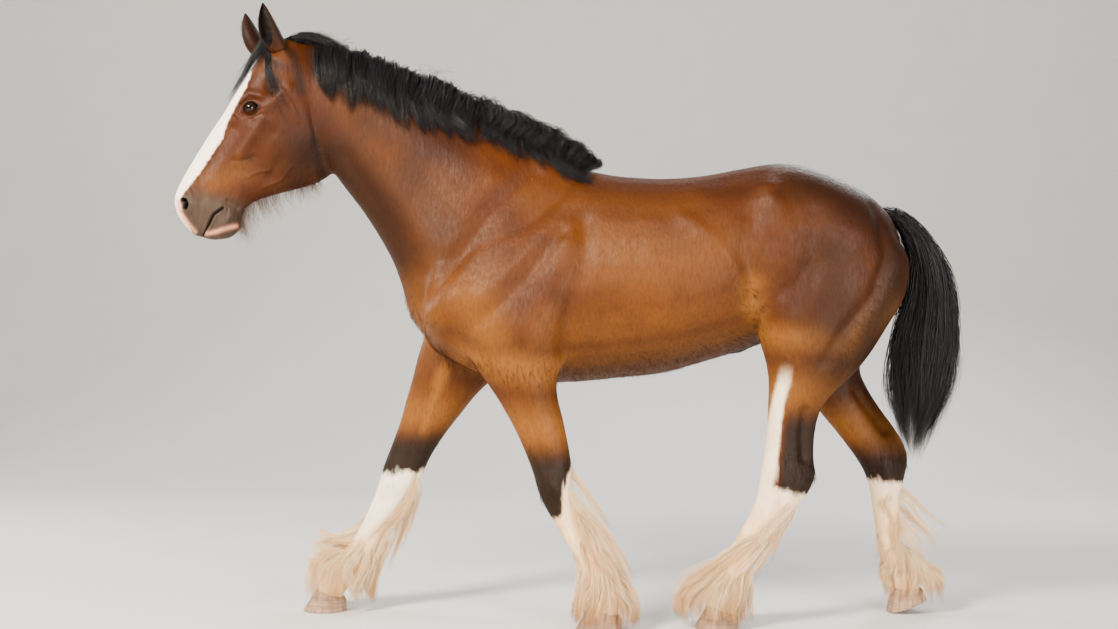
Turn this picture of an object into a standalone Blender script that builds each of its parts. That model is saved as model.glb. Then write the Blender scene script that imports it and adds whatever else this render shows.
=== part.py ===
import math
import random
from collections import namedtuple

import bmesh
import bpy
import numpy as np
from mathutils import Matrix, Vector
from mathutils.bvhtree import BVHTree

# A shire horse in mid walk, life size, in metres, standing on Z = 0
HORSE = "shire_horse"
SEED = 7
# The space left between neighbouring nodes
GAP = 0.0003
# How fine the whole body is made first, then how many triangles trunk and head keep
BODY_VOXEL = 0.010
BODY_SOFTENING = 16
BODY_TRIANGLES = 2900
HEAD_TRIANGLES = 1450
# How much more of them the face keeps round eyes, nostrils and mouth
FACE_DETAIL = 0.0001
HEAD_CUT_SPARE = 0.04
KNEE_CUT_SPARE = 0.03
# Where the body is parted, each by a line in the side view
HEAD_CUT = ((-1.075, 2.310), (-0.905, 1.770))
NECK_CUT = ((0.170, 1.800), (-0.700, 1.330))
FORE_TOP = 0.900
HIND_TOP = 1.040
HIND_FRONT = 0.672
LEG_SPLIT = 0.300
KNEES = {
    "near_fore": ((-0.170, 0.625), (-0.010, 0.640)),
    "off_fore": ((-0.750, 0.630), (-0.590, 0.580)),
    "near_hind": ((0.722, 0.655), (0.917, 0.645)),
    "off_hind": ((1.128, 0.632), (1.315, 0.705)),
}
# A box larger than the horse, for cutting all that lies past a plane
CUT_REACH = 8.0
# Ears: how far up, half width and half thickness, then the cup inside
EAR_RINGS = ((-0.05, 0.036, 0.032), (0.20, 0.042, 0.034), (0.45, 0.041, 0.031), (0.68, 0.031, 0.023),
             (0.86, 0.017, 0.012), (0.97, 0.006, 0.004))
EAR_SIDES = 10
EAR_WALL = 0.0055
EAR_OPEN = 0.017
CUP_START = 0.16
CUP_LONG = 0.86
CUP_NECK = 0.35
# Lids round the eye, long, high and outwards, and the opening between them
LID_RADII = (0.038, 0.031, 0.031)
LID_OPENING = (0.0250, 0.0150, 0.0200)
OPENING_OUT = 0.022
EYE_RINGS = 7
# Nostrils and the slit between the lips
NOSTRIL_RADII = ((0.014, 0.017, 0.018), (0.009, 0.015, 0.021))
NOSTRIL_OUT = 0.003
NOSTRIL_RINGS = 6
MOUTH_INNER = (0.047, 0.036, 0.024, 0.012)
MOUTH_HIGH = 0.0028
MOUTH_OUTER = 0.12
# Locks: how wide they are from root to tip, how thick, and how deep their roots are sunk
LOCK_SHAPE = (0.65, 0.8, 1.0, 0.8, 0.5)
LOCK_THICK = 0.011
ROOT_SUNK = 0.030
# Mane: how many locks, how wide, and how far down the dense hair under them reaches
MANE_LOCKS = 19
MANE_WIDE = 0.050
MANE_TWIST = 0.45
MANE_CORE = 0.42
MANE_CORE_THICK = 0.012
MANE_CORE_COLUMNS = 9
MANE_OUT = 0.14
MANE_ARCH = ((0.0, 0.006, 0.0), (0.6, -0.002, 0.80), (1.0, -0.026, 0.95))
MANE_STEPS = (0.30, 0.66, 1.0)
# How the mane's locks vary: length, sideways sway, height, lean, and how far off the neck they lie
MANE_REACH = (0.78, 1.10)
MANE_SWAY = (-0.040, 0.030)
MANE_HIGH = (0.70, 1.08)
MANE_LEAN = (-0.010, 0.028)
MANE_OFF = 0.006
MANE_LAYER = 0.011
MANE_STAND = (0.010, 0.35)
# Tail: its locks, the dense hair inside, and how far round and out the locks wander
TAIL_LOCKS = 13
TAIL_WIDE = 0.040
TAIL_CORE = 0.46
TAIL_CORE_SLIM = 0.55
TAIL_STEPS = 5
TAIL_WAVE = 0.07
TAIL_ROOT_DEEP = 0.25
TAIL_OUT = (0.94, 0.05)
# Forelock: its roots, how far it fans out and how it lies off the forehead
FORELOCK_LOCKS = 5
FORELOCK_WIDE = 0.018
FORELOCK_ROOT = (-1.135, 2.225)
FORELOCK_FAN = (0.010, 0.004, 0.050)
FORELOCK_OFF = (0.010, 0.008, 0.001)
# Hair hanging from under the jaw, in the straight head's frame
JAW = ((-1.280, 1.590), (-1.215, 1.640), (-1.120, 1.675), (-1.010, 1.715))
JAW_TIPS = ((-1.262, 1.480), (-1.190, 1.500), (-1.085, 1.560), (-0.965, 1.640))
JAW_LOCKS = 8
JAW_WIDE = 0.012
JAW_SPREAD = 0.014
JAW_BOW = 0.008
# Rows of feather: where they start and end down the leg, how many, how far round, half width
FEATHER_ROWS = ((0.02, 0.46, 2, 0.22, 0.032), (0.20, 0.70, 3, 0.36, 0.038), (0.42, 0.88, 4, 0.52, 0.042),
                (0.66, 1.00, 7, 0.90, 0.042))
FEATHER_SINK = 0.012
FEATHER_LIFT = 0.010
FEATHER_OUT = (0.72, 0.30)
FEATHER_CORE = 0.72
FEATHER_CORE_SIDES = 8
FLOOR_CLEAR = 0.012
# Keeps the leg's hair off its hoof
HOOF_CLEAR = 0.002
HOOF_CLEAR_DEEP = 0.03
GOLDEN = 0.618034


Rib = namedtuple("Rib", "front back half side wide round_front round_back", defaults=(0.0, 0.5, 0.5, 0.5))
Stroke = namedtuple("Stroke", "path radius height side", defaults=(0,))
Hoof = namedtuple("Hoof", "toe heel side pitch")

# The horse faces -X and its left side, the near one, faces -Y
NEAR, OFF = -1, 1
HEAD_YAW = math.radians(13)
HEAD_PIVOT = (-1.06, -0.03)
SECTION_SIDES = 32
RIBS_PER_GAP = 4

# Each rib: its front or top point and its rear or bottom one in the side view, half width,
# middle line, where it is widest, and how full its two ends are
TORSO = (
    Rib((-0.575, 1.34), (-0.590, 1.17), 0.150),
    Rib((-0.540, 1.46), (-0.555, 1.07), 0.235),
    Rib((-0.430, 1.55), (-0.430, 0.990), 0.275, 0, 0.58, 0.5, 0.42),
    Rib((-0.300, 1.63), (-0.300, 0.945), 0.292, 0, 0.58, 0.5, 0.42),
    Rib((-0.140, 1.70), (-0.140, 0.925), 0.300, 0, 0.57, 0.62, 0.45),
    Rib((0.030, 1.755), (0.030, 0.930), 0.312, 0, 0.56, 0.66),
    Rib((0.180, 1.738), (0.180, 0.945), 0.335, 0, 0.55, 0.58),
    Rib((0.340, 1.728), (0.340, 0.962), 0.355, 0, 0.54, 0.50),
    Rib((0.500, 1.738), (0.500, 1.005), 0.360, 0, 0.52, 0.46),
    Rib((0.650, 1.765), (0.650, 1.050), 0.345, 0, 0.48, 0.44),
    Rib((0.780, 1.785), (0.780, 1.090), 0.325, 0, 0.45, 0.42),
    Rib((0.900, 1.773), (0.900, 1.105), 0.315, 0, 0.42, 0.40),
    Rib((1.030, 1.728), (1.030, 1.115), 0.300, 0, 0.42, 0.42),
    Rib((1.140, 1.668), (1.140, 1.150), 0.260, 0, 0.42, 0.45),
    Rib((1.225, 1.590), (1.225, 1.210), 0.190, 0, 0.45),
    Rib((1.268, 1.500), (1.268, 1.280), 0.110),
)
NECK = (
    Rib((-1.130, 2.250), (-1.030, 1.840), 0.075, -0.035, 0.50, 0.60, 0.50),
    Rib((-1.020, 2.255), (-0.955, 1.765), 0.095, -0.030, 0.55, 0.62, 0.50),
    Rib((-0.900, 2.210), (-0.895, 1.685), 0.108, -0.022, 0.56, 0.64, 0.50),
    Rib((-0.750, 2.150), (-0.830, 1.600), 0.120, -0.014, 0.58, 0.64, 0.50),
    Rib((-0.590, 2.080), (-0.765, 1.500), 0.138, -0.006, 0.60, 0.64, 0.48),
    Rib((-0.430, 2.000), (-0.708, 1.395), 0.163, 0, 0.60, 0.64, 0.46),
    Rib((-0.260, 1.920), (-0.670, 1.290), 0.195, 0, 0.60, 0.62, 0.45),
    Rib((-0.090, 1.840), (-0.640, 1.190), 0.220, 0, 0.60, 0.60, 0.45),
    Rib((0.050, 1.775), (-0.570, 1.100), 0.230, 0, 0.60, 0.60, 0.45),
    Rib((0.140, 1.700), (-0.450, 1.030), 0.210, 0, 0.55, 0.60, 0.50),
)
HEAD = (
    Rib((-1.100, 2.270), (-1.000, 2.130), 0.060, 0, 0.50, 0.45, 0.50),
    Rib((-1.175, 2.255), (-0.945, 2.030), 0.092, 0, 0.50, 0.42, 0.50),
    Rib((-1.232, 2.185), (-0.915, 1.935), 0.106, 0, 0.42, 0.38, 0.55),
    Rib((-1.278, 2.110), (-0.907, 1.850), 0.112, 0, 0.38, 0.36, 0.58),
    Rib((-1.320, 2.045), (-0.925, 1.768), 0.108, 0, 0.36, 0.38, 0.58),
    Rib((-1.361, 1.975), (-0.988, 1.712), 0.094, 0, 0.36, 0.42, 0.58),
    Rib((-1.404, 1.910), (-1.082, 1.680), 0.078, 0, 0.38, 0.46, 0.56),
    Rib((-1.447, 1.840), (-1.172, 1.655), 0.067, 0, 0.42, 0.48, 0.52),
    Rib((-1.487, 1.772), (-1.244, 1.628), 0.062, 0, 0.46, 0.48, 0.50),
    Rib((-1.521, 1.710), (-1.286, 1.592), 0.063, 0, 0.48, 0.46, 0.45),
    Rib((-1.546, 1.650), (-1.296, 1.552), 0.067, 0, 0.48, 0.42, 0.42),
    Rib((-1.542, 1.592), (-1.302, 1.518), 0.062, 0, 0.48, 0.40, 0.42),
    Rib((-1.512, 1.538), (-1.338, 1.489), 0.052, 0, 0.50, 0.42, 0.45),
    Rib((-1.475, 1.500), (-1.400, 1.480), 0.032),
)
SHEATH = (
    Rib((0.520, 1.130), (0.520, 1.070), 0.022),
    Rib((0.570, 1.130), (0.580, 1.045), 0.038),
    Rib((0.640, 1.140), (0.650, 1.040), 0.040),
    Rib((0.690, 1.160), (0.715, 1.075), 0.030),
)
LEGS = {
    "near_fore": (
        Rib((-0.460, 1.340), (0.060, 1.420), 0.070, 0.205),
        Rib((-0.470, 1.240), (0.060, 1.280), 0.100, 0.208),
        Rib((-0.440, 1.130), (0.030, 1.150), 0.112, 0.205),
        Rib((-0.390, 1.020), (-0.025, 1.050), 0.106, 0.205),
        Rib((-0.325, 0.920), (-0.062, 0.955), 0.090, 0.205),
        Rib((-0.285, 0.860), (-0.062, 0.885), 0.080, 0.205),
        Rib((-0.226, 0.755), (-0.040, 0.790), 0.067, 0.205),
        Rib((-0.182, 0.655), (-0.018, 0.680), 0.058, 0.205),
        Rib((-0.158, 0.590), (-0.010, 0.610), 0.060, 0.205),
        Rib((-0.138, 0.520), (-0.013, 0.540), 0.061, 0.205),
        Rib((-0.108, 0.455), (0.005, 0.475), 0.050, 0.205),
        Rib((-0.070, 0.390), (0.040, 0.420), 0.042, 0.205),
        Rib((-0.028, 0.320), (0.078, 0.350), 0.040, 0.205),
        Rib((0.008, 0.262), (0.112, 0.285), 0.043, 0.205),
        Rib((0.026, 0.210), (0.150, 0.218), 0.054, 0.205),
        Rib((0.036, 0.155), (0.152, 0.150), 0.052, 0.205),
        Rib((0.048, 0.105), (0.165, 0.085), 0.062, 0.205),
        Rib((0.058, 0.070), (0.168, 0.045), 0.060, 0.205),
    ),
    "off_fore": (
        Rib((-0.520, 1.320), (0.000, 1.420), 0.070, 0.200),
        Rib((-0.560, 1.220), (-0.040, 1.280), 0.100, 0.204),
        Rib((-0.600, 1.120), (-0.140, 1.130), 0.112, 0.200),
        Rib((-0.630, 1.030), (-0.260, 0.990), 0.106, 0.200),
        Rib((-0.652, 0.940), (-0.380, 0.880), 0.092, 0.200),
        Rib((-0.675, 0.860), (-0.455, 0.790), 0.078, 0.200),
        Rib((-0.702, 0.760), (-0.525, 0.700), 0.066, 0.200),
        Rib((-0.737, 0.665), (-0.578, 0.615), 0.059, 0.200),
        Rib((-0.762, 0.600), (-0.608, 0.550), 0.061, 0.200),
        Rib((-0.782, 0.535), (-0.645, 0.485), 0.061, 0.200),
        Rib((-0.800, 0.475), (-0.685, 0.430), 0.050, 0.200),
        Rib((-0.828, 0.410), (-0.725, 0.365), 0.042, 0.200),
        Rib((-0.865, 0.335), (-0.768, 0.300), 0.040, 0.200),
        Rib((-0.905, 0.272), (-0.798, 0.240), 0.043, 0.200),
        Rib((-0.950, 0.225), (-0.828, 0.178), 0.054, 0.200),
        Rib((-0.985, 0.175), (-0.880, 0.125), 0.052, 0.200),
        Rib((-1.030, 0.125), (-0.925, 0.070), 0.062, 0.200),
        Rib((-1.040, 0.080), (-0.935, 0.040), 0.060, 0.200),
    ),
    "near_hind": (
        Rib((0.800, 1.600), (1.230, 1.500), 0.100, 0.150),
        Rib((0.720, 1.450), (1.282, 1.400), 0.135, 0.165),
        Rib((0.690, 1.300), (1.265, 1.270), 0.148, 0.172),
        Rib((0.692, 1.180), (1.195, 1.150), 0.138, 0.180),
        Rib((0.705, 1.090), (1.125, 1.040), 0.120, 0.182),
        Rib((0.728, 1.010), (1.060, 0.960), 0.100, 0.180),
        Rib((0.738, 0.940), (0.990, 0.895), 0.083, 0.178),
        Rib((0.738, 0.865), (0.945, 0.835), 0.071, 0.175, 0.42, 0.45, 0.60),
        Rib((0.735, 0.790), (0.925, 0.765), 0.062, 0.172, 0.40, 0.45, 0.68),
        Rib((0.731, 0.715), (0.918, 0.700), 0.058, 0.170, 0.40, 0.45, 0.74),
        Rib((0.722, 0.650), (0.917, 0.640), 0.059, 0.168, 0.40, 0.45, 0.70),
        Rib((0.711, 0.590), (0.922, 0.585), 0.061, 0.168, 0.42, 0.45, 0.60),
        Rib((0.704, 0.535), (0.895, 0.515), 0.057, 0.168),
        Rib((0.688, 0.475), (0.835, 0.440), 0.048, 0.168),
        Rib((0.655, 0.405), (0.775, 0.365), 0.043, 0.168),
        Rib((0.612, 0.335), (0.725, 0.290), 0.041, 0.168),
        Rib((0.575, 0.280), (0.685, 0.235), 0.045, 0.168),
        Rib((0.540, 0.230), (0.655, 0.178), 0.054, 0.168),
        Rib((0.515, 0.175), (0.625, 0.125), 0.051, 0.168),
        Rib((0.505, 0.115), (0.618, 0.078), 0.059, 0.168),
        Rib((0.512, 0.070), (0.615, 0.040), 0.057, 0.168),
    ),
    "off_hind": (
        Rib((0.830, 1.600), (1.230, 1.500), 0.100, 0.150),
        Rib((0.790, 1.450), (1.282, 1.400), 0.135, 0.165),
        Rib((0.775, 1.300), (1.275, 1.280), 0.148, 0.172),
        Rib((0.800, 1.170), (1.245, 1.180), 0.135, 0.180),
        Rib((0.840, 1.060), (1.205, 1.100), 0.115, 0.182),
        Rib((0.893, 0.960), (1.165, 1.035), 0.100, 0.180),
        Rib((0.940, 0.880), (1.155, 0.965), 0.086, 0.178),
        Rib((0.992, 0.800), (1.190, 0.890), 0.073, 0.175, 0.42, 0.45, 0.60),
        Rib((1.050, 0.730), (1.235, 0.820), 0.063, 0.172, 0.40, 0.45, 0.68),
        Rib((1.100, 0.665), (1.285, 0.752), 0.059, 0.170, 0.40, 0.45, 0.74),
        Rib((1.140, 0.610), (1.325, 0.685), 0.060, 0.168, 0.40, 0.45, 0.70),
        Rib((1.170, 0.555), (1.345, 0.615), 0.061, 0.168, 0.42, 0.45, 0.60),
        Rib((1.188, 0.500), (1.330, 0.535), 0.057, 0.168),
        Rib((1.197, 0.440), (1.312, 0.455), 0.047, 0.168),
        Rib((1.208, 0.365), (1.312, 0.360), 0.042, 0.168),
        Rib((1.222, 0.285), (1.325, 0.265), 0.043, 0.168),
        Rib((1.232, 0.225), (1.350, 0.200), 0.053, 0.168),
        Rib((1.248, 0.170), (1.365, 0.155), 0.051, 0.168),
        Rib((1.268, 0.125), (1.392, 0.125), 0.059, 0.168),
        Rib((1.280, 0.085), (1.390, 0.090), 0.057, 0.168),
    ),
}
LEG_SIDE = {"near_fore": NEAR, "off_fore": OFF, "near_hind": NEAR, "off_hind": OFF}
HOOVES = {
    "near_fore": Hoof(0.003, 0.180, 0.205, 0),
    "off_fore": Hoof(-1.092, -0.918, 0.200, 0),
    "near_hind": Hoof(0.458, 0.626, 0.168, 0),
    "off_hind": Hoof(1.258, 1.426, 0.168, 20),
}
HOOF_HALF = 0.084
HOOF_TOE_HIGH = 0.085
HOOF_HEEL_HIGH = 0.050
HOOF_TOE_LEAN = 0.052
TOE_FLAT = 0.014
HOOF_SIDES = 20
# Moves the whole model so that its origin is under the middle of its box
ORIGIN_X = -0.0058

# Relief pushed out of the surface (or in, below zero) along side-view lines: trunk and legs
TRUNK_STROKES = (
    Stroke(((0.02, 1.66), (-0.10, 1.53), (-0.20, 1.40), (-0.34, 1.27)), 0.048, 0.013),
    Stroke(((-0.15, 1.74), (-0.33, 1.57), (-0.46, 1.38), (-0.55, 1.25)), 0.034, -0.015),
    Stroke(((-0.50, 1.19), (-0.45, 1.26)), 0.070, 0.022),
    Stroke(((-0.03, 1.44), (-0.08, 1.28), (-0.16, 1.14)), 0.080, 0.020),
    Stroke(((0.04, 1.54), (0.03, 1.38), (-0.01, 1.22), (-0.04, 1.07)), 0.034, -0.016),
    Stroke(((-0.05, 1.50), (-0.20, 1.32), (-0.36, 1.16)), 0.026, -0.008),
    Stroke(((-0.47, 1.12), (-0.36, 1.05), (-0.30, 0.96)), 0.028, -0.010),
    Stroke(((-0.88, 1.80), (-0.80, 1.67), (-0.67, 1.46), (-0.60, 1.35)), 0.026, -0.009),
    Stroke(((-0.95, 2.10), (-0.62, 1.88), (-0.32, 1.72)), 0.080, 0.010),
    Stroke(((-0.80, 1.92), (-0.66, 1.72), (-0.50, 1.54)), 0.060, -0.005),
    Stroke(((0.66, 1.56), (0.645, 1.42), (0.66, 1.26)), 0.050, -0.020),
    Stroke(((0.40, 1.57), (0.52, 1.47), (0.61, 1.36), (0.645, 1.22)), 0.030, 0.007),
    Stroke(((0.735, 1.665), (0.74, 1.64)), 0.045, 0.018),
    Stroke(((0.75, 1.60), (0.80, 1.48), (0.815, 1.34)), 0.036, 0.010),
    Stroke(((0.785, 1.235), (0.79, 1.20)), 0.055, 0.015),
    Stroke(((0.90, 1.58), (0.90, 1.42), (0.86, 1.26), (0.84, 1.14)), 0.032, -0.008),
    Stroke(((1.15, 1.60), (1.175, 1.42), (1.12, 1.27), (1.00, 1.12), (0.94, 1.02)), 0.026, -0.013),
    Stroke(((1.05, 1.48), (1.02, 1.30)), 0.070, 0.010),
    Stroke(((0.56, 1.71), (0.68, 1.73)), 0.045, -0.006),
    Stroke(((0.17, 1.40), (0.20, 1.18)), 0.030, 0.003),
    Stroke(((0.28, 1.42), (0.32, 1.16)), 0.030, 0.003),
    Stroke(((-0.22, 0.90), (-0.165, 0.78), (-0.125, 0.66)), 0.016, -0.006, NEAR),
    Stroke(((-0.16, 0.92), (-0.11, 0.80), (-0.08, 0.68)), 0.030, 0.005, NEAR),
    Stroke(((-0.115, 0.58), (-0.10, 0.55)), 0.026, 0.006, NEAR),
    Stroke(((-0.045, 0.455), (-0.005, 0.385), (0.045, 0.305)), 0.012, -0.007, NEAR),
    Stroke(((-0.58, 0.88), (-0.615, 0.76), (-0.65, 0.66)), 0.016, -0.006, OFF),
    Stroke(((-0.705, 0.58), (-0.715, 0.54)), 0.026, 0.006, OFF),
    Stroke(((-0.725, 0.435), (-0.770, 0.355), (-0.815, 0.285)), 0.012, -0.007, OFF),
    Stroke(((0.872, 0.83), (0.868, 0.73), (0.872, 0.65)), 0.020, -0.016, NEAR),
    Stroke(((0.80, 0.60), (0.79, 0.55)), 0.028, 0.006, NEAR),
    Stroke(((0.775, 0.465), (0.725, 0.385), (0.675, 0.305)), 0.012, -0.007, NEAR),
    Stroke(((1.130, 0.885), (1.185, 0.805), (1.245, 0.73)), 0.020, -0.016, OFF),
    Stroke(((1.245, 0.60), (1.26, 0.55)), 0.028, 0.006, OFF),
    Stroke(((1.262, 0.47), (1.268, 0.38), (1.280, 0.29)), 0.012, -0.007, OFF),
)
# The same on the head, before it is turned
HEAD_STROKES = (
    Stroke(((-1.215, 1.940), (-1.255, 1.875), (-1.300, 1.805)), 0.018, 0.007),
    Stroke(((-1.190, 1.890), (-1.240, 1.800), (-1.280, 1.745)), 0.028, -0.006),
    Stroke(((-1.030, 1.960), (-1.060, 1.890), (-1.110, 1.840)), 0.075, 0.016),
    Stroke(((-1.150, 1.790), (-1.185, 1.725)), 0.020, -0.006),
    Stroke(((-1.335, 1.905), (-1.390, 1.810), (-1.430, 1.740)), 0.026, -0.008),
    Stroke(((-1.300, 2.015), (-1.268, 2.040), (-1.225, 2.030)), 0.018, 0.010),
    Stroke(((-1.195, 2.075), (-1.185, 2.060)), 0.022, -0.012),
    Stroke(((-1.205, 1.985), (-1.165, 2.020), (-1.120, 2.065)), 0.022, 0.008),
    Stroke(((-1.305, 1.955), (-1.290, 1.940), (-1.262, 1.935)), 0.014, -0.003),
    Stroke(((-1.495, 1.665), (-1.478, 1.625), (-1.490, 1.590)), 0.014, 0.007),
    Stroke(((-1.532, 1.648), (-1.538, 1.610)), 0.014, 0.005),
    Stroke(((-1.455, 1.700), (-1.440, 1.640)), 0.018, -0.004),
    Stroke(((-1.366, 1.602), (-1.400, 1.577), (-1.420, 1.536)), 0.008, -0.007),
    Stroke(((-1.340, 1.575), (-1.375, 1.525)), 0.018, 0.007),
    Stroke(((-1.310, 1.605), (-1.345, 1.625)), 0.012, -0.005),
)
EYE = (-1.262, 0.083, 1.984)
EYE_RADIUS = 0.026
EYE_OUT = (-0.20, 0.97, 0.12)
EYE_SLOPE = math.radians(15)
NOSTRIL = ((-1.517, 0.062, 1.626), (-1.509, 0.060, 1.602))
MOUTH = ((-1.366, 1.602), (-1.400, 1.577), (-1.420, 1.536), (-1.440, 1.498))
# Each ear's base and tip; the off one leans forwards
EARS = {
    NEAR: ((-1.145, -0.062, 2.200), (-1.215, -0.085, 2.388)),
    OFF: ((-1.203, 0.058, 2.200), (-1.274, 0.086, 2.376)),
}


def densify(ribs, per_gap):
    """More ribs on a Catmull-Rom curve through the given ones."""
    rows = np.array([(*r.front, *r.back, *r[2:]) for r in ribs], float)
    rows = np.vstack([2 * rows[0] - rows[1], rows, 2 * rows[-1] - rows[-2]])
    found = []
    for i in range(1, len(rows) - 2):
        a, b, c, d = rows[i - 1 : i + 3]
        for t in np.arange(per_gap) / per_gap:
            line = 2 * b + (c - a) * t
            bend = (2 * a - 5 * b + 4 * c - d) * t**2 + (3 * b - a - 3 * c + d) * t**3
            found.append(0.5 * (line + bend))
    found.append(rows[-2])
    return [Rib((r[0], r[1]), (r[2], r[3]), *r[4:]) for r in found]


def ring(rib, flip, sides):
    """One closed cross-section, from its front or top point round past its rear or bottom one."""
    front, back = np.array(rib.front), np.array(rib.back)
    points = []
    for i in range(sides):
        turn = 2 * math.pi * i / sides
        c, s = math.cos(turn), math.sin(turn)
        along = rib.wide - c * (rib.wide if c > 0 else 1 - rib.wide)
        power = 2 * (rib.round_front if c > 0 else rib.round_back)
        x, z = front + (back - front) * along
        points.append((x, flip * rib.side + math.copysign(rib.half * abs(s) ** power, s), z))
    return points


def loft(bm, ribs, flip=1, sides=SECTION_SIDES, per_gap=RIBS_PER_GAP):
    """A closed body through ribs, added to bm."""
    rings = [[bm.verts.new(p) for p in ring(r, flip, sides)] for r in densify(ribs, per_gap)]
    for a, b in zip(rings, rings[1:]):
        for i in range(sides):
            j = (i + 1) % sides
            bm.faces.new((a[i], a[j], b[j], b[i]))
    bm.faces.new(rings[0])
    bm.faces.new(list(reversed(rings[-1])))
    return [v for loop in rings for v in loop]


def object_from(bm, name):
    """A new object holding bm's faces, turned outwards."""
    bmesh.ops.recalc_face_normals(bm, faces=bm.faces)
    mesh = bpy.data.meshes.new(name)
    bm.to_mesh(mesh)
    bm.free()
    obj = bpy.data.objects.new(name, mesh)
    bpy.context.scene.collection.objects.link(obj)
    return obj


def applied(obj):
    """Applies every modifier obj has."""
    bpy.context.view_layer.update()
    graph = bpy.context.evaluated_depsgraph_get()
    obj.data = bpy.data.meshes.new_from_object(obj.evaluated_get(graph))
    obj.modifiers.clear()
    return obj


def head_turn():
    """From the straight head to where it is carried, turned a little to the near side."""
    x, y = HEAD_PIVOT
    return Matrix.Translation((x, y, 0)) @ Matrix.Rotation(HEAD_YAW, 4, "Z") @ Matrix.Translation((-x, 0, 0))


def flesh(more=None):
    """The overlapping lofts of the whole animal as one object; more may add to them."""
    bm = bmesh.new()
    loft(bm, HEAD)
    bmesh.ops.transform(bm, matrix=head_turn(), verts=bm.verts)
    loft(bm, TORSO)
    loft(bm, NECK)
    loft(bm, SHEATH)
    for name, ribs in LEGS.items():
        loft(bm, ribs, LEG_SIDE[name])
    if more:
        more(bm)
    return object_from(bm, "flesh")


def mesh_arrays(mesh):
    """The mesh's points and point normals as arrays."""
    co = np.empty(len(mesh.vertices) * 3, np.float32)
    mesh.vertices.foreach_get("co", co)
    normals = np.empty(len(mesh.vertices) * 3, np.float32)
    mesh.vertex_normals.foreach_get("vector", normals)
    return co.reshape(-1, 3).astype(float), normals.reshape(-1, 3).astype(float)


def line_distance(points, path):
    """How far each side-view point is from a line through path."""
    path = np.array(path, float)
    best = np.full(len(points), np.inf)
    for a, b in zip(path, path[1:]):
        along = np.clip((points - a) @ (b - a) / max((b - a) @ (b - a), 1e-12), 0, 1)
        best = np.minimum(best, np.linalg.norm(points - (a + along[:, None] * (b - a)), axis=1))
    return best


def step(value, low, high):
    """0 below low, 1 above high, smooth between."""
    t = np.clip((value - low) / (high - low), 0, 1)
    return t * t * (3 - 2 * t)


def relief(points, normals, strokes):
    """How far each point moves out along its normal for the strokes."""
    total = np.zeros(len(points))
    facing = step(np.abs(normals[:, 1]), 0.15, 0.60)
    for stroke in strokes:
        near = np.exp(-((line_distance(points[:, [0, 2]], stroke.path) / stroke.radius) ** 2))
        if stroke.side:
            near = near * step(stroke.side * points[:, 1], 0.02, 0.08)
        total += stroke.height * near * facing
    return total


def head_part(co):
    """1 on the head, 0 on the neck behind it."""
    edge = -1.03 - 0.30 * (co[:, 2] - 2.05)
    return step(edge - co[:, 0], -0.02, 0.04)


def to_head(points):
    """Points or directions in the straight head's own frame."""
    turned = np.array(head_turn().inverted())
    return points @ turned[:3, :3].T + turned[:3, 3]


def skin(voxel, rounds, refine=None, more=None):
    """The whole animal's surface as one closed body, without hair; refine may split its faces first."""
    obj = flesh(more)
    remesh = obj.modifiers.new("Remesh", "REMESH")
    remesh.mode = "VOXEL"
    remesh.voxel_size = voxel
    applied(obj)
    co, _ = mesh_arrays(obj.data)
    trunk = step(co[:, 2], 0.70, 1.05) * (1 - 0.9 * head_part(co))
    soft = np.round(0.12 + 0.88 * trunk, 2)
    group = obj.vertex_groups.new(name="soft")
    for level in np.unique(soft):
        group.add(np.flatnonzero(soft == level).tolist(), float(level), "REPLACE")
    smooth = obj.modifiers.new("Smooth", "SMOOTH")
    smooth.factor = 0.5
    smooth.iterations = rounds
    smooth.vertex_group = "soft"
    applied(obj)
    obj.vertex_groups.clear()
    if refine:
        refine(obj)
    co, normals = mesh_arrays(obj.data)
    on_head = head_part(co)
    turned = np.array(head_turn().to_3x3().inverted())
    out = relief(co, normals, TRUNK_STROKES) * (1 - on_head)
    out += relief(to_head(co), normals @ turned.T, HEAD_STROKES) * on_head
    co += normals * out[:, None]
    obj.data.vertices.foreach_set("co", co.astype(np.float32).ravel())
    obj.data.update()
    return obj


def eye_axes(side):
    """The eye's long, high and outward directions; its front corner is the lower one."""
    out = Vector((EYE_OUT[0], side * EYE_OUT[1], EYE_OUT[2])).normalized()
    long = Vector((-math.cos(EYE_SLOPE), 0, -math.sin(EYE_SLOPE)))
    long = (long - out * long.dot(out)).normalized()
    high = long.cross(out)
    return long, high if high.z > 0 else -high, out


def ear_axes(side):
    """An ear's base, the way to its tip, the way it opens and the way across it."""
    base, tip = (Vector(p) for p in EARS[side])
    axis = tip - base
    opening = Vector((-0.72, side * 0.62, 0.0))
    opening = (opening - axis * opening.dot(axis) / axis.length_squared).normalized()
    return base, axis, opening, axis.normalized().cross(opening)


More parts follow.
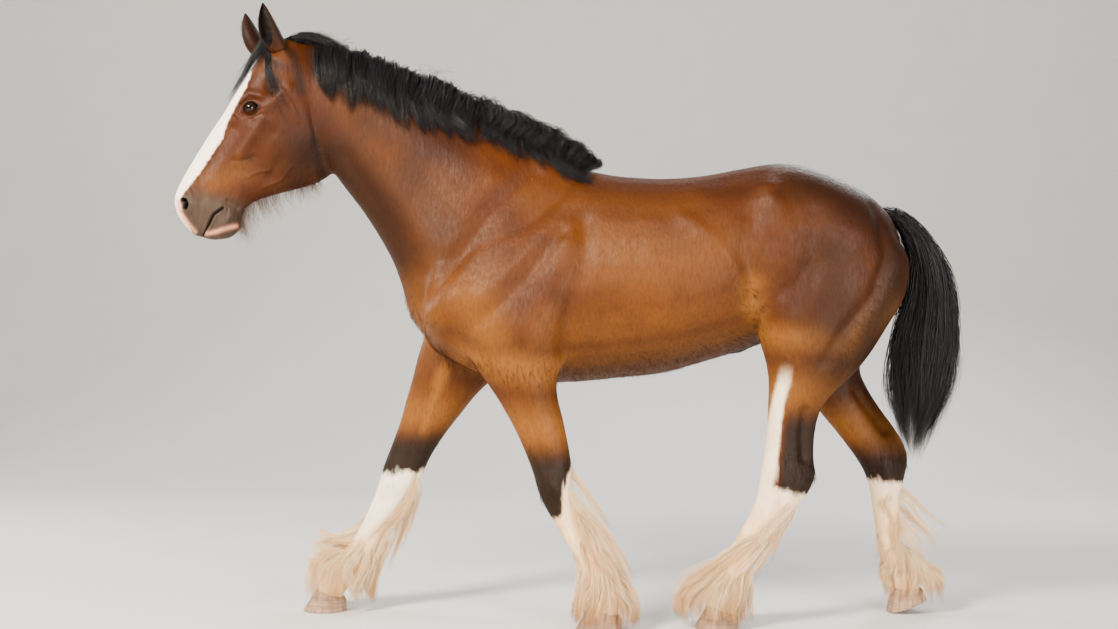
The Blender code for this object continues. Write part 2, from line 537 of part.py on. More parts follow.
def hoof_body(bm, hoof, flip, grow=0.0, deep=0.0):
    """One hoof, its wall leaning back from the toe, with a flat sole; deep carries it below."""
    toe, heel = hoof.toe - grow, hoof.heel + grow
    half = HOOF_HALF + grow
    ribs = [
        Rib((toe, -deep), (heel, -deep), half, hoof.side, 0.48, 0.44, 0.36),
        Rib((toe, 0.0), (heel, 0.0), half, hoof.side, 0.48, 0.44, 0.36),
        Rib((toe + 0.016, 0.026), (heel + 0.001, 0.016), half * 0.965, hoof.side, 0.48, 0.44, 0.38),
        Rib((toe + 0.034, 0.056), (heel, 0.034), half * 0.90, hoof.side, 0.48, 0.44, 0.40),
        Rib((toe + HOOF_TOE_LEAN, HOOF_TOE_HIGH + grow), (heel - 0.006, HOOF_HEEL_HIGH + grow),
            half * 0.83, hoof.side, 0.48, 0.46, 0.44),
    ]
    made = loft(bm, ribs[0 if deep else 1 :], flip, HOOF_SIDES, 1)
    if hoof.pitch:
        pivot = (hoof.toe + TOE_FLAT, 0, 0)
        bmesh.ops.rotate(bm, cent=pivot, matrix=Matrix.Rotation(-math.radians(hoof.pitch), 3, "Y"), verts=made)
    return made


# The tail's hair, front and rear edge in the side view with half widths
TAIL = (
    Rib((1.205, 1.625), (1.235, 1.560), 0.045),
    Rib((1.265, 1.622), (1.262, 1.540), 0.055),
    Rib((1.330, 1.590), (1.278, 1.500), 0.064),
    Rib((1.385, 1.535), (1.300, 1.450), 0.070),
    Rib((1.428, 1.465), (1.312, 1.390), 0.074),
    Rib((1.468, 1.375), (1.306, 1.320), 0.078, -0.003),
    Rib((1.492, 1.270), (1.284, 1.240), 0.083, -0.006),
    Rib((1.502, 1.150), (1.252, 1.150), 0.086, -0.010),
    Rib((1.500, 1.030), (1.232, 1.050), 0.086, -0.016),
    Rib((1.482, 0.920), (1.222, 0.955), 0.080, -0.022),
    Rib((1.448, 0.825), (1.228, 0.865), 0.068, -0.026),
    Rib((1.408, 0.750), (1.258, 0.770), 0.050, -0.028),
    Rib((1.372, 0.685), (1.292, 0.690), 0.028, -0.028),
    Rib((1.342, 0.612), (1.325, 0.612), 0.006, -0.028),
)
# The long hair of each lower leg, out to its tips
FEATHERS = {
    "near_fore": (
        Rib((-0.100, 0.600), (0.012, 0.610), 0.030, 0.205),
        Rib((-0.085, 0.520), (0.085, 0.530), 0.044, 0.205),
        Rib((-0.070, 0.440), (0.135, 0.435), 0.056, 0.205),
        Rib((-0.040, 0.350), (0.165, 0.345), 0.068, 0.205),
        Rib((-0.010, 0.265), (0.208, 0.262), 0.084, 0.205),
        Rib((0.004, 0.185), (0.250, 0.178), 0.100, 0.205),
        Rib((-0.008, 0.105), (0.272, 0.105), 0.112, 0.205),
        Rib((-0.018, 0.028), (0.230, 0.012), 0.112, 0.205),
    ),
    "off_fore": (
        Rib((-0.745, 0.560), (-0.578, 0.600), 0.032, 0.200),
        Rib((-0.770, 0.490), (-0.572, 0.500), 0.048, 0.200),
        Rib((-0.830, 0.420), (-0.592, 0.400), 0.060, 0.200),
        Rib((-0.920, 0.360), (-0.650, 0.310), 0.070, 0.200),
        Rib((-1.010, 0.320), (-0.710, 0.225), 0.084, 0.200),
        Rib((-1.075, 0.275), (-0.762, 0.150), 0.096, 0.200),
        Rib((-1.086, 0.190), (-0.796, 0.080), 0.104, 0.200),
        Rib((-1.062, 0.110), (-0.802, 0.022), 0.100, 0.200),
    ),
    "near_hind": (
        Rib((0.770, 0.520), (0.896, 0.530), 0.030, 0.168),
        Rib((0.715, 0.450), (0.872, 0.440), 0.050, 0.168),
        Rib((0.655, 0.380), (0.818, 0.350), 0.064, 0.168),
        Rib((0.575, 0.310), (0.765, 0.270), 0.080, 0.168),
        Rib((0.480, 0.245), (0.718, 0.200), 0.094, 0.168),
        Rib((0.395, 0.200), (0.692, 0.130), 0.106, 0.168),
        Rib((0.345, 0.130), (0.668, 0.070), 0.110, 0.168),
        Rib((0.385, 0.050), (0.660, 0.016), 0.104, 0.168),
    ),
    "off_hind": (
        Rib((1.205, 0.520), (1.368, 0.530), 0.034, 0.168),
        Rib((1.205, 0.450), (1.420, 0.465), 0.052, 0.168),
        Rib((1.212, 0.370), (1.492, 0.390), 0.064, 0.168),
        Rib((1.222, 0.290), (1.556, 0.310), 0.080, 0.168),
        Rib((1.230, 0.210), (1.548, 0.225), 0.094, 0.168),
        Rib((1.235, 0.135), (1.518, 0.150), 0.100, 0.168),
        Rib((1.240, 0.060), (1.486, 0.085), 0.096, 0.168),
    ),
}
# The crest the mane grows from, the line its tips fall to on the near side, and how high it stands
CREST = ((-1.050, 2.256), (-0.940, 2.222), (-0.750, 2.150), (-0.590, 2.080), (-0.430, 2.000),
         (-0.260, 1.920), (-0.110, 1.850), (0.040, 1.782))
MANE_EDGE = ((-0.995, 2.020), (-0.885, 1.985), (-0.750, 1.940), (-0.600, 1.900), (-0.450, 1.875),
             (-0.290, 1.835), (-0.140, 1.780), (0.060, 1.735))
MANE_RISES = (0.046, 0.034, 0.060, 0.062, 0.080, 0.088, 0.080, 0.072, 0.040)
# The forelock down the forehead, in the straight head's frame
FORELOCK = ((-1.165, 0.000, 2.275), (-1.235, 0.006, 2.225), (-1.288, 0.018, 2.130), (-1.330, 0.028, 2.035))


def surface_of(obj):
    """A tree that finds the nearest place on obj."""
    bm = bmesh.new()
    bm.from_mesh(obj.data)
    tree = BVHTree.FromBMesh(bm)
    bm.free()
    return tree


def lay(tree, point, off):
    """The place off above the surface nearest to point."""
    place, normal, _, _ = tree.find_nearest(Vector(point))
    return place + normal * off


def along(line, t):
    """The point a fraction t of the way along a list of points."""
    t = min(max(t, 0), 1) * (len(line) - 1)
    i = min(int(t), len(line) - 2)
    return Vector(line[i]).lerp(Vector(line[i + 1]), t - i)


def envelope_point(ribs, t, turn, scale, flip):
    """A point of the form that the ribs enclose, a fraction t down it, turned round from its front."""
    at = min(max(t, 0), 1) * (len(ribs) - 1)
    i = min(int(at), len(ribs) - 2)
    mixed = np.array([(*r.front, *r.back, r.half, r.side) for r in ribs[i : i + 2]])
    fx, fz, bx, bz, half, side = mixed[0] + (mixed[1] - mixed[0]) * (at - i)
    middle = Vector(((fx + bx) / 2, flip * side, (fz + bz) / 2))
    forward = Vector((fx - bx, 0, fz - bz)) / 2
    return middle + (forward * math.cos(turn) + Vector((0, flip * half * math.sin(turn), 0))) * scale


def grown(obj, name, by=GAP):
    """A copy of obj that is larger all round."""
    copy = bpy.data.objects.new(name, obj.data.copy())
    bpy.context.scene.collection.objects.link(copy)
    co, normals = mesh_arrays(copy.data)
    copy.data.vertices.foreach_set("co", (co + normals * by).astype(np.float32).ravel())
    copy.data.update()
    return copy


def thinned(obj, triangles, fine=None):
    """Brings obj down to about this many triangles, with more of them left where fine is 1."""
    mesh = obj.data
    mesh.calc_loop_triangles()
    modifier = obj.modifiers.new("Decimate", "DECIMATE")
    modifier.ratio = min(1.0, triangles / len(mesh.loop_triangles))
    modifier.use_collapse_triangulate = True
    if fine is not None:
        group = obj.vertex_groups.new(name="coarse")
        for level in (0.5, 1.0):
            group.add(np.flatnonzero(fine == 2 - 2 * level).tolist(), level, "REPLACE")
        modifier.vertex_group = "coarse"
        modifier.vertex_group_factor = FACE_DETAIL
    applied(obj)
    obj.vertex_groups.clear()
    return obj


def face_detail(mesh):
    """1 for the points round eyes, nostrils and mouth, 0 elsewhere."""
    co, _ = mesh_arrays(mesh)
    local = to_head(co)
    folded = np.column_stack([local[:, 0], np.abs(local[:, 1]), local[:, 2]])
    near = np.linalg.norm(folded - EYE, axis=1) < 0.055
    near |= line_distance(local[:, [0, 2]], [(p[0], p[2]) for p in NOSTRIL]) < 0.035
    near |= line_distance(local[:, [0, 2]], MOUTH) < 0.020
    return near.astype(float)


def side_plane(line, inner):
    """The plane through a side-view line, with a normal pointing away from the inner point."""
    (ax, az), (bx, bz) = line
    normal = Vector((bz - az, 0, ax - bx)).normalized()
    if normal.dot(Vector((inner[0] - ax, 0, inner[1] - az))) > 0:
        normal.negate()
    return Vector((ax, 0, az)), normal


def kept(source, name, planes, gap=GAP / 2):
    """A copy of source on the inner side of each plane, closed again where it is cut."""
    bm = bmesh.new()
    bm.from_mesh(source.data)
    for point, normal in planes:
        point, normal = Vector(point), Vector(normal)
        everything = bm.verts[:] + bm.edges[:] + bm.faces[:]
        bmesh.ops.bisect_plane(
            bm, geom=everything, plane_co=point - normal * gap, plane_no=normal, clear_outer=True
        )
        rim = [e for e in bm.edges if e.is_boundary]
        if rim:
            bmesh.ops.edgeloop_fill(bm, edges=rim)
    bmesh.ops.triangulate(bm, faces=bm.faces[:])
    return object_from(bm, name)


def combine(obj, others, operation, solver="EXACT"):
    """Joins obj with others, or takes them from it, and removes them."""
    group = bpy.data.collections.new("operands")
    bpy.context.scene.collection.children.link(group)
    for other in others:
        bpy.context.scene.collection.objects.unlink(other)
        group.objects.link(other)
    modifier = obj.modifiers.new("Boolean", "BOOLEAN")
    modifier.operation = operation
    modifier.solver = solver
    modifier.operand_type = "COLLECTION"
    modifier.collection = group
    applied(obj)
    for other in others:
        bpy.data.objects.remove(other)
    bpy.data.collections.remove(group)
    return largest(obj)


def largest(obj):
    """Keeps the closed surface with the most faces, as triangles."""
    bm = bmesh.new()
    bm.from_mesh(obj.data)
    bmesh.ops.remove_doubles(bm, verts=bm.verts[:], dist=1e-6)
    left = set(bm.faces)
    shells = []
    while left:
        todo = [left.pop()]
        shell = []
        while todo:
            face = todo.pop()
            shell.append(face)
            for edge in face.edges:
                for other in edge.link_faces:
                    if other in left:
                        left.remove(other)
                        todo.append(other)
        shells.append(shell)
    shells.sort(key=len)
    bmesh.ops.delete(bm, geom=[f for shell in shells[:-1] for f in shell], context="FACES")
    bmesh.ops.delete(bm, geom=[v for v in bm.verts if not v.link_faces], context="VERTS")
    bmesh.ops.triangulate(bm, faces=bm.faces[:])
    bm.to_mesh(obj.data)
    bm.free()
    return obj


def box(name, low, high):
    """A plain box between two corners."""
    bm = bmesh.new()
    bmesh.ops.create_cube(bm, size=1)
    for vert in bm.verts:
        vert.co = Vector([low[i] + (vert.co[i] + 0.5) * (high[i] - low[i]) for i in range(3)])
    return object_from(bm, name)


def ball(name, centre, radii, rings, axes=None):
    """An ellipsoid in the straight head's frame, along three axes of its own if given, turned with the head."""
    bm = bmesh.new()
    place = head_turn() @ Matrix.Translation(centre)
    if axes:
        place @= Matrix(axes).transposed().to_4x4()
    place @= Matrix.Diagonal((*radii, 1))
    bmesh.ops.create_uvsphere(bm, u_segments=2 * rings, v_segments=rings, radius=1, matrix=place)
    return object_from(bm, name)


def ear_shell(name, side):
    """A leaf-shaped ear with a deep cup that opens forwards and outwards."""
    base, axis, opening, across = ear_axes(side)
    parts = []
    for inner in (False, True):
        bm = bmesh.new()
        loops = []
        for at, wide, thick in EAR_RINGS:
            centre = base + axis * at
            if inner:
                narrow = CUP_NECK if at < 0 else 1.0
                centre = base + axis * (CUP_START + at * CUP_LONG) + opening * EAR_OPEN
                wide, thick = max(wide - EAR_WALL, 0.002) * narrow, (thick + 0.004) * narrow
            loop = []
            for i in range(EAR_SIDES):
                turn = 2 * math.pi * i / EAR_SIDES
                place = centre + across * wide * math.sin(turn) + opening * thick * math.cos(turn)
                loop.append(bm.verts.new(place))
            loops.append(loop)
        join_loops(bm, loops, EAR_SIDES)
        bmesh.ops.transform(bm, matrix=head_turn(), verts=bm.verts)
        bmesh.ops.triangulate(bm, faces=bm.faces[:])
        parts.append(object_from(bm, name))
    ear, cup = parts
    ear.name = name
    return combine(ear, [cup], "DIFFERENCE")


def join_loops(bm, loops, sides):
    """Faces between neighbouring loops of points, and one over each end."""
    for a, b in zip(loops, loops[1:]):
        for i in range(sides):
            bm.faces.new((a[i], a[(i + 1) % sides], b[(i + 1) % sides], b[i]))
    bm.faces.new(loops[0])
    bm.faces.new(list(reversed(loops[-1])))


def slab(name, tree, columns, thick, sink):
    """A sheet of hair laid on the surface through columns of points, from thick above it to sink below."""
    bm = bmesh.new()
    outer = [[bm.verts.new(lay(tree, p, thick)) for p in column] for column in columns]
    inner = [[bm.verts.new(lay(tree, p, -sink)) for p in column] for column in columns]
    last_u, last_v = len(columns) - 1, len(columns[0]) - 1
    for u in range(last_u):
        for v in range(last_v):
            bm.faces.new((outer[u][v], outer[u + 1][v], outer[u + 1][v + 1], outer[u][v + 1]))
            bm.faces.new((inner[u][v], inner[u][v + 1], inner[u + 1][v + 1], inner[u + 1][v]))
    rim = [(u, 0) for u in range(last_u)] + [(last_u, v) for v in range(last_v)]
    rim += [(u, last_v) for u in range(last_u, 0, -1)] + [(0, v) for v in range(last_v, 0, -1)]
    for (u, v), (s, t) in zip(rim, rim[1:] + rim[:1]):
        bm.faces.new((outer[u][v], inner[u][v], inner[s][t], outer[s][t]))
    bmesh.ops.triangulate(bm, faces=bm.faces[:])
    return object_from(bm, name)


def mouth_cutter(side):
    """A thin curved wedge along the line between the lips."""
    bm = bmesh.new()
    loops = []
    for i, (x, z) in enumerate(MOUTH):
        half = MOUTH_HIGH * (0.4 if i == 0 else 1.0)
        corners = ((-half, MOUTH_OUTER), (half, MOUTH_OUTER), (half, MOUTH_INNER[i]), (-half, MOUTH_INNER[i]))
        loops.append([bm.verts.new((x + dx, side * y, z + dx * 0.6)) for dx, y in corners])
    join_loops(bm, loops, 4)
    bmesh.ops.transform(bm, matrix=head_turn(), verts=bm.verts)
    bmesh.ops.triangulate(bm, faces=bm.faces[:])
    return object_from(bm, "mouth")


def forelock_locks(tree, rand):
    """Locks from between the ears, down and across the forehead."""
    turn = head_turn()
    locks = []
    for i in range(FORELOCK_LOCKS):
        fan = 2 * (i + 0.5) / FORELOCK_LOCKS - 1
        reach = rand.uniform(0.75, 1.0)
        spread, start, widen = FORELOCK_FAN
        spine = [turn @ Vector((FORELOCK_ROOT[0], spread * fan, FORELOCK_ROOT[1]))]
        for k in range(1, 6):
            x, y, z = along(FORELOCK, k / 5 * reach)
            spot = turn @ Vector((x, y + fan * (start + widen * k / 5), z))
            spine.append(lay(tree, spot, FORELOCK_OFF[0] + FORELOCK_OFF[1] * (i % 2) - FORELOCK_OFF[2] * k))
        locks.append(lock(spine, Vector((0, 1, 0)), FORELOCK_WIDE, LOCK_THICK * 0.8))
    return locks


def jaw_locks(tree, rand):
    """Thin locks that hang from under the jaw."""
    turn = head_turn()
    locks = []
    for i in range(JAW_LOCKS):
        t = (i + 0.5) / JAW_LOCKS
        start, end = along(JAW, t), along(JAW_TIPS, t)
        y = JAW_SPREAD * (1 if i % 2 else -1)
        root = lay(tree, turn @ Vector((start[0], y, start[1])), -ROOT_SUNK / 3)
        tip = turn @ Vector((end[0], y * 1.6, start[1] + (end[1] - start[1]) * rand.uniform(0.55, 1.1)))
        spine = [root]
        for k in (0.35, 0.7, 1.0):
            spine.append(root.lerp(tip, k) - Vector((0, 0, JAW_BOW * math.sin(math.pi * k))))
        locks.append(lock(spine, Vector((1, 0.2, 0.3)), JAW_WIDE, LOCK_THICK * 0.5))
    return locks


def build_head(head_skin, tree, rand):
    """The head with lids, nostrils and mouth cut in it, then ears and eyes beside it."""
    head = kept(head_skin, "head", [side_plane(HEAD_CUT, (-1.4, 1.8))])
    lids, cuts = [], []
    for side in (NEAR, OFF):
        centre = Vector((EYE[0], side * EYE[1], EYE[2]))
        axes = eye_axes(side)
        lids.append(ball("lid", centre, LID_RADII, EYE_RINGS, axes))
        cuts.append(ball("opening", centre + axes[2] * OPENING_OUT, LID_OPENING, EYE_RINGS, axes))
        cuts.append(ball("socket", centre, [EYE_RADIUS + GAP] * 3, EYE_RINGS))
        for (x, y, z), radii in zip(NOSTRIL, NOSTRIL_RADII):
            rim = lay(tree, head_turn() @ Vector((x, side * y, z)), NOSTRIL_OUT)
            cuts.append(ball("nostril", head_turn().inverted() @ rim, radii, NOSTRIL_RINGS))
        cuts.append(mouth_cutter(side))
    combine(head, lids, "UNION")
    for cut in cuts:
        combine(head, [cut], "DIFFERENCE")
    fused(head, forelock_locks(tree, rand) + jaw_locks(tree, rand))
    made = [head]
    for side, word in ((NEAR, "left"), (OFF, "right")):
        ear = ear_shell("ear_" + word, side)
        for by in (GAP, 0):
            combine(ear, [grown(head, "under", by)], "DIFFERENCE")
        made.append(ear)
        made.append(ball("eye_" + word, (EYE[0], side * EYE[1], EYE[2]), [EYE_RADIUS] * 3, EYE_RINGS))
    return made


def hoof_plane(name):
    """The plane a hoof and its leg meet in, with a normal pointing down."""
    hoof = HOOVES[name]
    corners = [Vector((HOOF_TOE_LEAN - TOE_FLAT, 0, HOOF_TOE_HIGH)),
               Vector((hoof.heel - hoof.toe - 0.006 - TOE_FLAT, 0, HOOF_HEEL_HIGH))]
    turned = [Matrix.Rotation(-math.radians(hoof.pitch), 3, "Y") @ c for c in corners]
    placed = [(c.x + hoof.toe + TOE_FLAT, c.z) for c in turned]
    return side_plane(placed, (placed[0][0], placed[0][1] + 1))


def feather_core(name):
    """The dense hair behind the leg, about half way out to the tips."""
    ribs = []
    for rib in FEATHERS[name][1:-1]:
        front, back = Vector(rib.front), Vector(rib.back)
        ends = front.lerp(back, 0.10), front.lerp(back, FEATHER_CORE)
        ribs.append(Rib(tuple(ends[0]), tuple(ends[1]), rib.half * FEATHER_CORE, rib.side))
    bm = bmesh.new()
    loft(bm, ribs, LEG_SIDE[name], FEATHER_CORE_SIDES, 1)
    bmesh.ops.triangulate(bm, faces=bm.faces[:])
    return object_from(bm, "core")


def feather_locks(name, tree, rand):
    """Locks from the knee or hock down, longest behind the fetlock, and a skirt of them over the hoof."""
    side = LEG_SIDE[name]
    ribs = FEATHERS[name]
    locks = []
    for start, end, count, spread, wide in FEATHER_ROWS:
        for i in range(count):
            turn = math.pi + spread * (2 * (i + 0.5) / count - 1) * math.pi + rand.uniform(-0.12, 0.12)
            begin = start + rand.uniform(-0.03, 0.03)
            stop = end + rand.uniform(-0.05, 0.04)
            middle = lay(tree, envelope_point(ribs, begin, turn, 0.6, side), -FEATHER_SINK)
            spine = [middle, lay(tree, envelope_point(ribs, begin + 0.06, turn, 0.6, side), FEATHER_LIFT)]
            for k in (0.45, 0.78, 1.0):
                s = begin + (stop - begin) * k
                bend = turn + 0.10 * math.sin(3 * k + i)
                spine.append(envelope_point(ribs, s, bend, FEATHER_OUT[0] + FEATHER_OUT[1] * k, side))
            across = Vector((-math.sin(turn), side * math.cos(turn), 0))
            spine = [Vector((p.x, p.y, max(p.z, FLOOR_CLEAR))) for p in spine]
            locks.append(lock(spine, across, wide * rand.uniform(0.8, 1.15), LOCK_THICK))
    return locks


def build_legs(body, tree, rand):
    """Upper legs, lower legs with their feather, and hooves."""
    made = []
    for name in LEGS:
        side = LEG_SIDE[name]
        fore = name.endswith("fore")
        region = [((0, 0, 0), (0, -side, 0)), ((0, 0, FORE_TOP if fore else HIND_TOP), (0, 0, 1))]
        if fore:
            region.append(((LEG_SPLIT, 0, 0), (1, 0, 0)))
        else:
            region.append(((HIND_FRONT, 0, 0), (-1, 0, 0)))
        knee = KNEES[name]
        above, below = (knee[0][0], knee[0][1] + 1), (knee[0][0], knee[0][1] - 1)
        word = ("fore_" if fore else "hind_") + ("left_" if side == NEAR else "right_")
        made.append(kept(body, word + "upper", region + [side_plane(knee, above)]))
        plane = side_plane(knee, below)
        spare = (plane[0] + plane[1] * KNEE_CUT_SPARE, plane[1])
        lower = kept(body, word + "lower", region + [spare, hoof_plane(name)])
        fused(lower, [feather_core(name)] + feather_locks(name, tree, rand))
        combine(lower, [beyond(plane)], "DIFFERENCE", "MANIFOLD")
        bm = bmesh.new()
        hoof_body(bm, HOOVES[name], side, HOOF_CLEAR, HOOF_CLEAR_DEEP)
        combine(lower, [object_from(bm, "clearance")], "DIFFERENCE")
        made.append(lower)
        bm = bmesh.new()
        hoof_body(bm, HOOVES[name], side)
        bmesh.ops.triangulate(bm, faces=bm.faces[:])
        hoof = object_from(bm, "hoof")
        made.append(kept(hoof, word + "hoof", [((0, 0, 0), (0, 0, -1))], 0))
        bpy.data.objects.remove(hoof)
    return made


def lock(spine, across, wide, thick):
    """A flat lock that tapers to the last point of spine, as its own object."""
    bm = bmesh.new()
    last = len(spine) - 1
    loops = []
    for i, centre in enumerate(spine[:-1]):
        ahead = (spine[i + 1] - spine[max(i - 1, 0)]).normalized()
        side = (across - ahead * across.dot(ahead)).normalized()
        out = ahead.cross(side)
        full = LOCK_SHAPE[min(int(i * (len(LOCK_SHAPE) - 1) / (last - 1) + 0.5), len(LOCK_SHAPE) - 1)]
        corners = (side * wide, out * thick, side * -wide)
        loops.append([bm.verts.new(centre + corner * full) for corner in corners])
    tip = bm.verts.new(spine[-1])
    for a, b in zip(loops, loops[1:]):
        for i in range(3):
            bm.faces.new((a[i], a[(i + 1) % 3], b[(i + 1) % 3], b[i]))
    for i in range(3):
        bm.faces.new((loops[-1][i], loops[-1][(i + 1) % 3], tip))
    bm.faces.new(loops[0])
    bmesh.ops.triangulate(bm, faces=bm.faces[:])
    return object_from(bm, "lock")


def beyond(plane):
    """All that lies outside a plane, as a large box."""
    point, normal = plane
    bm = bmesh.new()
    bmesh.ops.create_cube(bm, size=CUT_REACH)
    place = Matrix.Translation(point + normal * (CUT_REACH - GAP) / 2)
    turned = normal.to_track_quat("X", "Z").to_matrix().to_4x4()
    bmesh.ops.transform(bm, matrix=place @ turned, verts=bm.verts)
    bmesh.ops.triangulate(bm, faces=bm.faces[:])
    return object_from(bm, "beyond")


def fused(obj, locks):
    """Joins the locks to obj and keeps the one closed surface."""
    return combine(obj, locks, "UNION", "MANIFOLD")


def mane_spot(start, end, s, sway=0.0):
    """A point near the neck's near side, a fraction s of the way from the crest to the mane's edge."""
    x = start[0] + (end[0] - start[0]) * s + sway
    return (x, -0.02 - MANE_OUT * s**0.5, start[1] + (end[1] - start[1]) * s)


def mane_locks(tree, rand):
    """Two layers of locks from the crest down the near side of the neck."""
    locks = []
    for i in range(MANE_LOCKS):
        layer = i % 2
        t = (i + 0.5) / MANE_LOCKS
        start, end = along(CREST, t), along(MANE_EDGE, t + rand.uniform(-0.02, 0.02))
        reach = rand.uniform(*MANE_REACH)
        sway = rand.uniform(*MANE_SWAY)
        rise = along([(r, 0) for r in MANE_RISES], t)[0] * rand.uniform(*MANE_HIGH)
        lean = rand.uniform(*MANE_LEAN)
        off = MANE_OFF + MANE_LAYER * layer
        spine = []
        for ahead, y, high in MANE_ARCH:
            spine.append(Vector((start[0] + ahead * lean, y, start[1] + high * rise)))
        spine[0].z -= ROOT_SUNK
        for s in MANE_STEPS:
            s *= reach
            wave = lean + sway * math.sin(4.5 * s) + 0.006 * math.sin(9 * s + i)
            stand = off + (MANE_STAND[0] + MANE_STAND[1] * rise) * (1 - s)
            spine.append(lay(tree, mane_spot(start, end, s, wave), stand))
        crest = (along(CREST, t + 0.03) - along(CREST, t - 0.03)).normalized()
        twist = rand.uniform(-MANE_TWIST, MANE_TWIST)
        across = Vector((crest[0], twist, crest[1] + rand.uniform(-MANE_TWIST, 0)))
        locks.append(lock(spine, across, MANE_WIDE * rand.uniform(0.75, 1.2), LOCK_THICK))
    return locks


def build_neck(body, tree, rand):
    """The neck with the mane lying on its near side."""
    columns = []
    for i in range(MANE_CORE_COLUMNS):
        t = i / (MANE_CORE_COLUMNS - 1)
        start, end = along(CREST, t), along(MANE_EDGE, t)
        column = [(start[0], 0.02, start[1])]
        for s in (0.08, 0.22, MANE_CORE):
            column.append(mane_spot(start, end, s))
        columns.append(column)
    core = slab("mane", tree, columns, MANE_CORE_THICK, MANE_CORE_THICK)
    neck = combine(grown(body, "neck", 0), [core], "UNION")
    fused(neck, mane_locks(tree, rand))
    ends = [beyond(side_plane(HEAD_CUT, (0, 1.5))), beyond(side_plane(NECK_CUT, (-0.9, 2.0)))]
    return combine(neck, ends, "DIFFERENCE", "MANIFOLD")


def build_torso(body):
    """The trunk without neck and legs."""
    torso = kept(body, "torso", [side_plane(NECK_CUT, (0.5, 1.3))])
    g = GAP / 2
    fore = box("under", (-1.3, -0.5, -0.2), (LEG_SPLIT, 0.5, FORE_TOP + g))
    hind = box("under", (HIND_FRONT - g, -0.5, -0.2), (1.7, 0.5, HIND_TOP + g))
    for cut in (fore, hind):
        combine(torso, [cut], "DIFFERENCE")
    return torso


def build_tail(body, rand):
    """The tail's dense root, half way down, with locks from it to the tips."""
    reach = len(TAIL) * TAIL_CORE
    core = []
    for i, rib in enumerate(TAIL[: int(reach)]):
        slim = 1 - TAIL_CORE_SLIM * i / reach
        front, back = Vector(rib.front), Vector(rib.back)
        middle = (front + back) / 2
        ends = middle + (front - middle) * slim, middle + (back - middle) * slim
        core.append(Rib(tuple(ends[0]), tuple(ends[1]), rib.half * slim, rib.side))
    bm = bmesh.new()
    loft(bm, core, 1, 12, 1)
    bmesh.ops.triangulate(bm, faces=bm.faces[:])
    tail = object_from(bm, "tail")
    locks = []
    for i in range(TAIL_LOCKS):
        turn = 2 * math.pi * (i * GOLDEN % 1)
        start = rand.uniform(0.12, TAIL_CORE - 0.06)
        end = 1.0 if i % 5 == 0 else min(start + rand.uniform(0.36, 0.60), 0.98)
        spine = [envelope_point(TAIL, start, turn, TAIL_ROOT_DEEP, 1)]
        for k in range(1, TAIL_STEPS + 1):
            s = start + (end - start) * k / TAIL_STEPS
            wave = TAIL_WAVE * math.sin(5 * s * math.pi + i)
            spine.append(envelope_point(TAIL, s, turn + wave, TAIL_OUT[0] - TAIL_OUT[1] * (k % 2), 1))
        across = Vector((-math.sin(turn), math.cos(turn), 0)) if i % 3 else Vector((0.6, 0.8, 0))
        locks.append(lock(spine, across, TAIL_WIDE * rand.uniform(0.75, 1.2), LOCK_THICK))
    fused(tail, locks)
    return combine(tail, [grown(body, "under", 2 * GAP)], "DIFFERENCE")


def material(name, colour, roughness):
    """A plain finish for one kind of surface."""
    made = bpy.data.materials.new(name)
    made.use_nodes = True
    shader = made.node_tree.nodes["Principled BSDF"]
    shader.inputs["Base Color"].default_value = (*colour, 1)
    shader.inputs["Roughness"].default_value = roughness
    made.diffuse_color = (*colour, 1)
    return made


def build():
    """Builds every node and puts it in the horse's own collection."""
    for obj in list(bpy.data.objects):
        bpy.data.objects.remove(obj)
    rand = random.Random(SEED)
    body = skin(BODY_VOXEL, BODY_SOFTENING)
    tree = surface_of(body)
    head_skin = kept(body, "head_skin", [side_plane(HEAD_CUT, (-1.4, 1.8))], -HEAD_CUT_SPARE)
    thinned(head_skin, HEAD_TRIANGLES, face_detail(head_skin.data))
    thinned(body, BODY_TRIANGLES)
    parts = build_head(head_skin, tree, rand)
    bpy.data.objects.remove(head_skin)
    parts.append(build_neck(body, tree, rand))
    parts.append(build_torso(body))
    parts += build_legs(body, tree, rand)
    parts.append(build_tail(body, rand))
    bpy.data.objects.remove(body)
    bay = material("bay_coat", (0.26, 0.085, 0.03), 0.45)
    black = material("black_hair", (0.02, 0.017, 0.015), 0.5)
    white = material("white_hair", (0.62, 0.52, 0.42), 0.7)
    horn = material("horn", (0.32, 0.25, 0.19), 0.5)
    wet = material("eye", (0.015, 0.01, 0.008), 0.08)
    collection = bpy.data.collections.new(HORSE)
    bpy.context.scene.collection.children.link(collection)
    for part in parts:
        part.data.transform(Matrix.Translation((ORIGIN_X, 0, 0)))
        part.data.materials.clear()
        chosen = bay
        if part.name.startswith("eye"):
            chosen = wet
        elif part.name == "tail":
            chosen = black
        elif part.name.endswith("lower"):
            chosen = white
        elif part.name.endswith("hoof"):
            chosen = horn
        part.data.materials.append(chosen)
        for polygon in part.data.polygons:
            polygon.use_smooth = True
        bpy.context.scene.collection.objects.unlink(part)
        collection.objects.link(part)


build()
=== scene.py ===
import math
from collections import namedtuple

import bmesh
import bpy
import numpy as np
from mathutils import Matrix, Vector
from mathutils.bvhtree import BVHTree


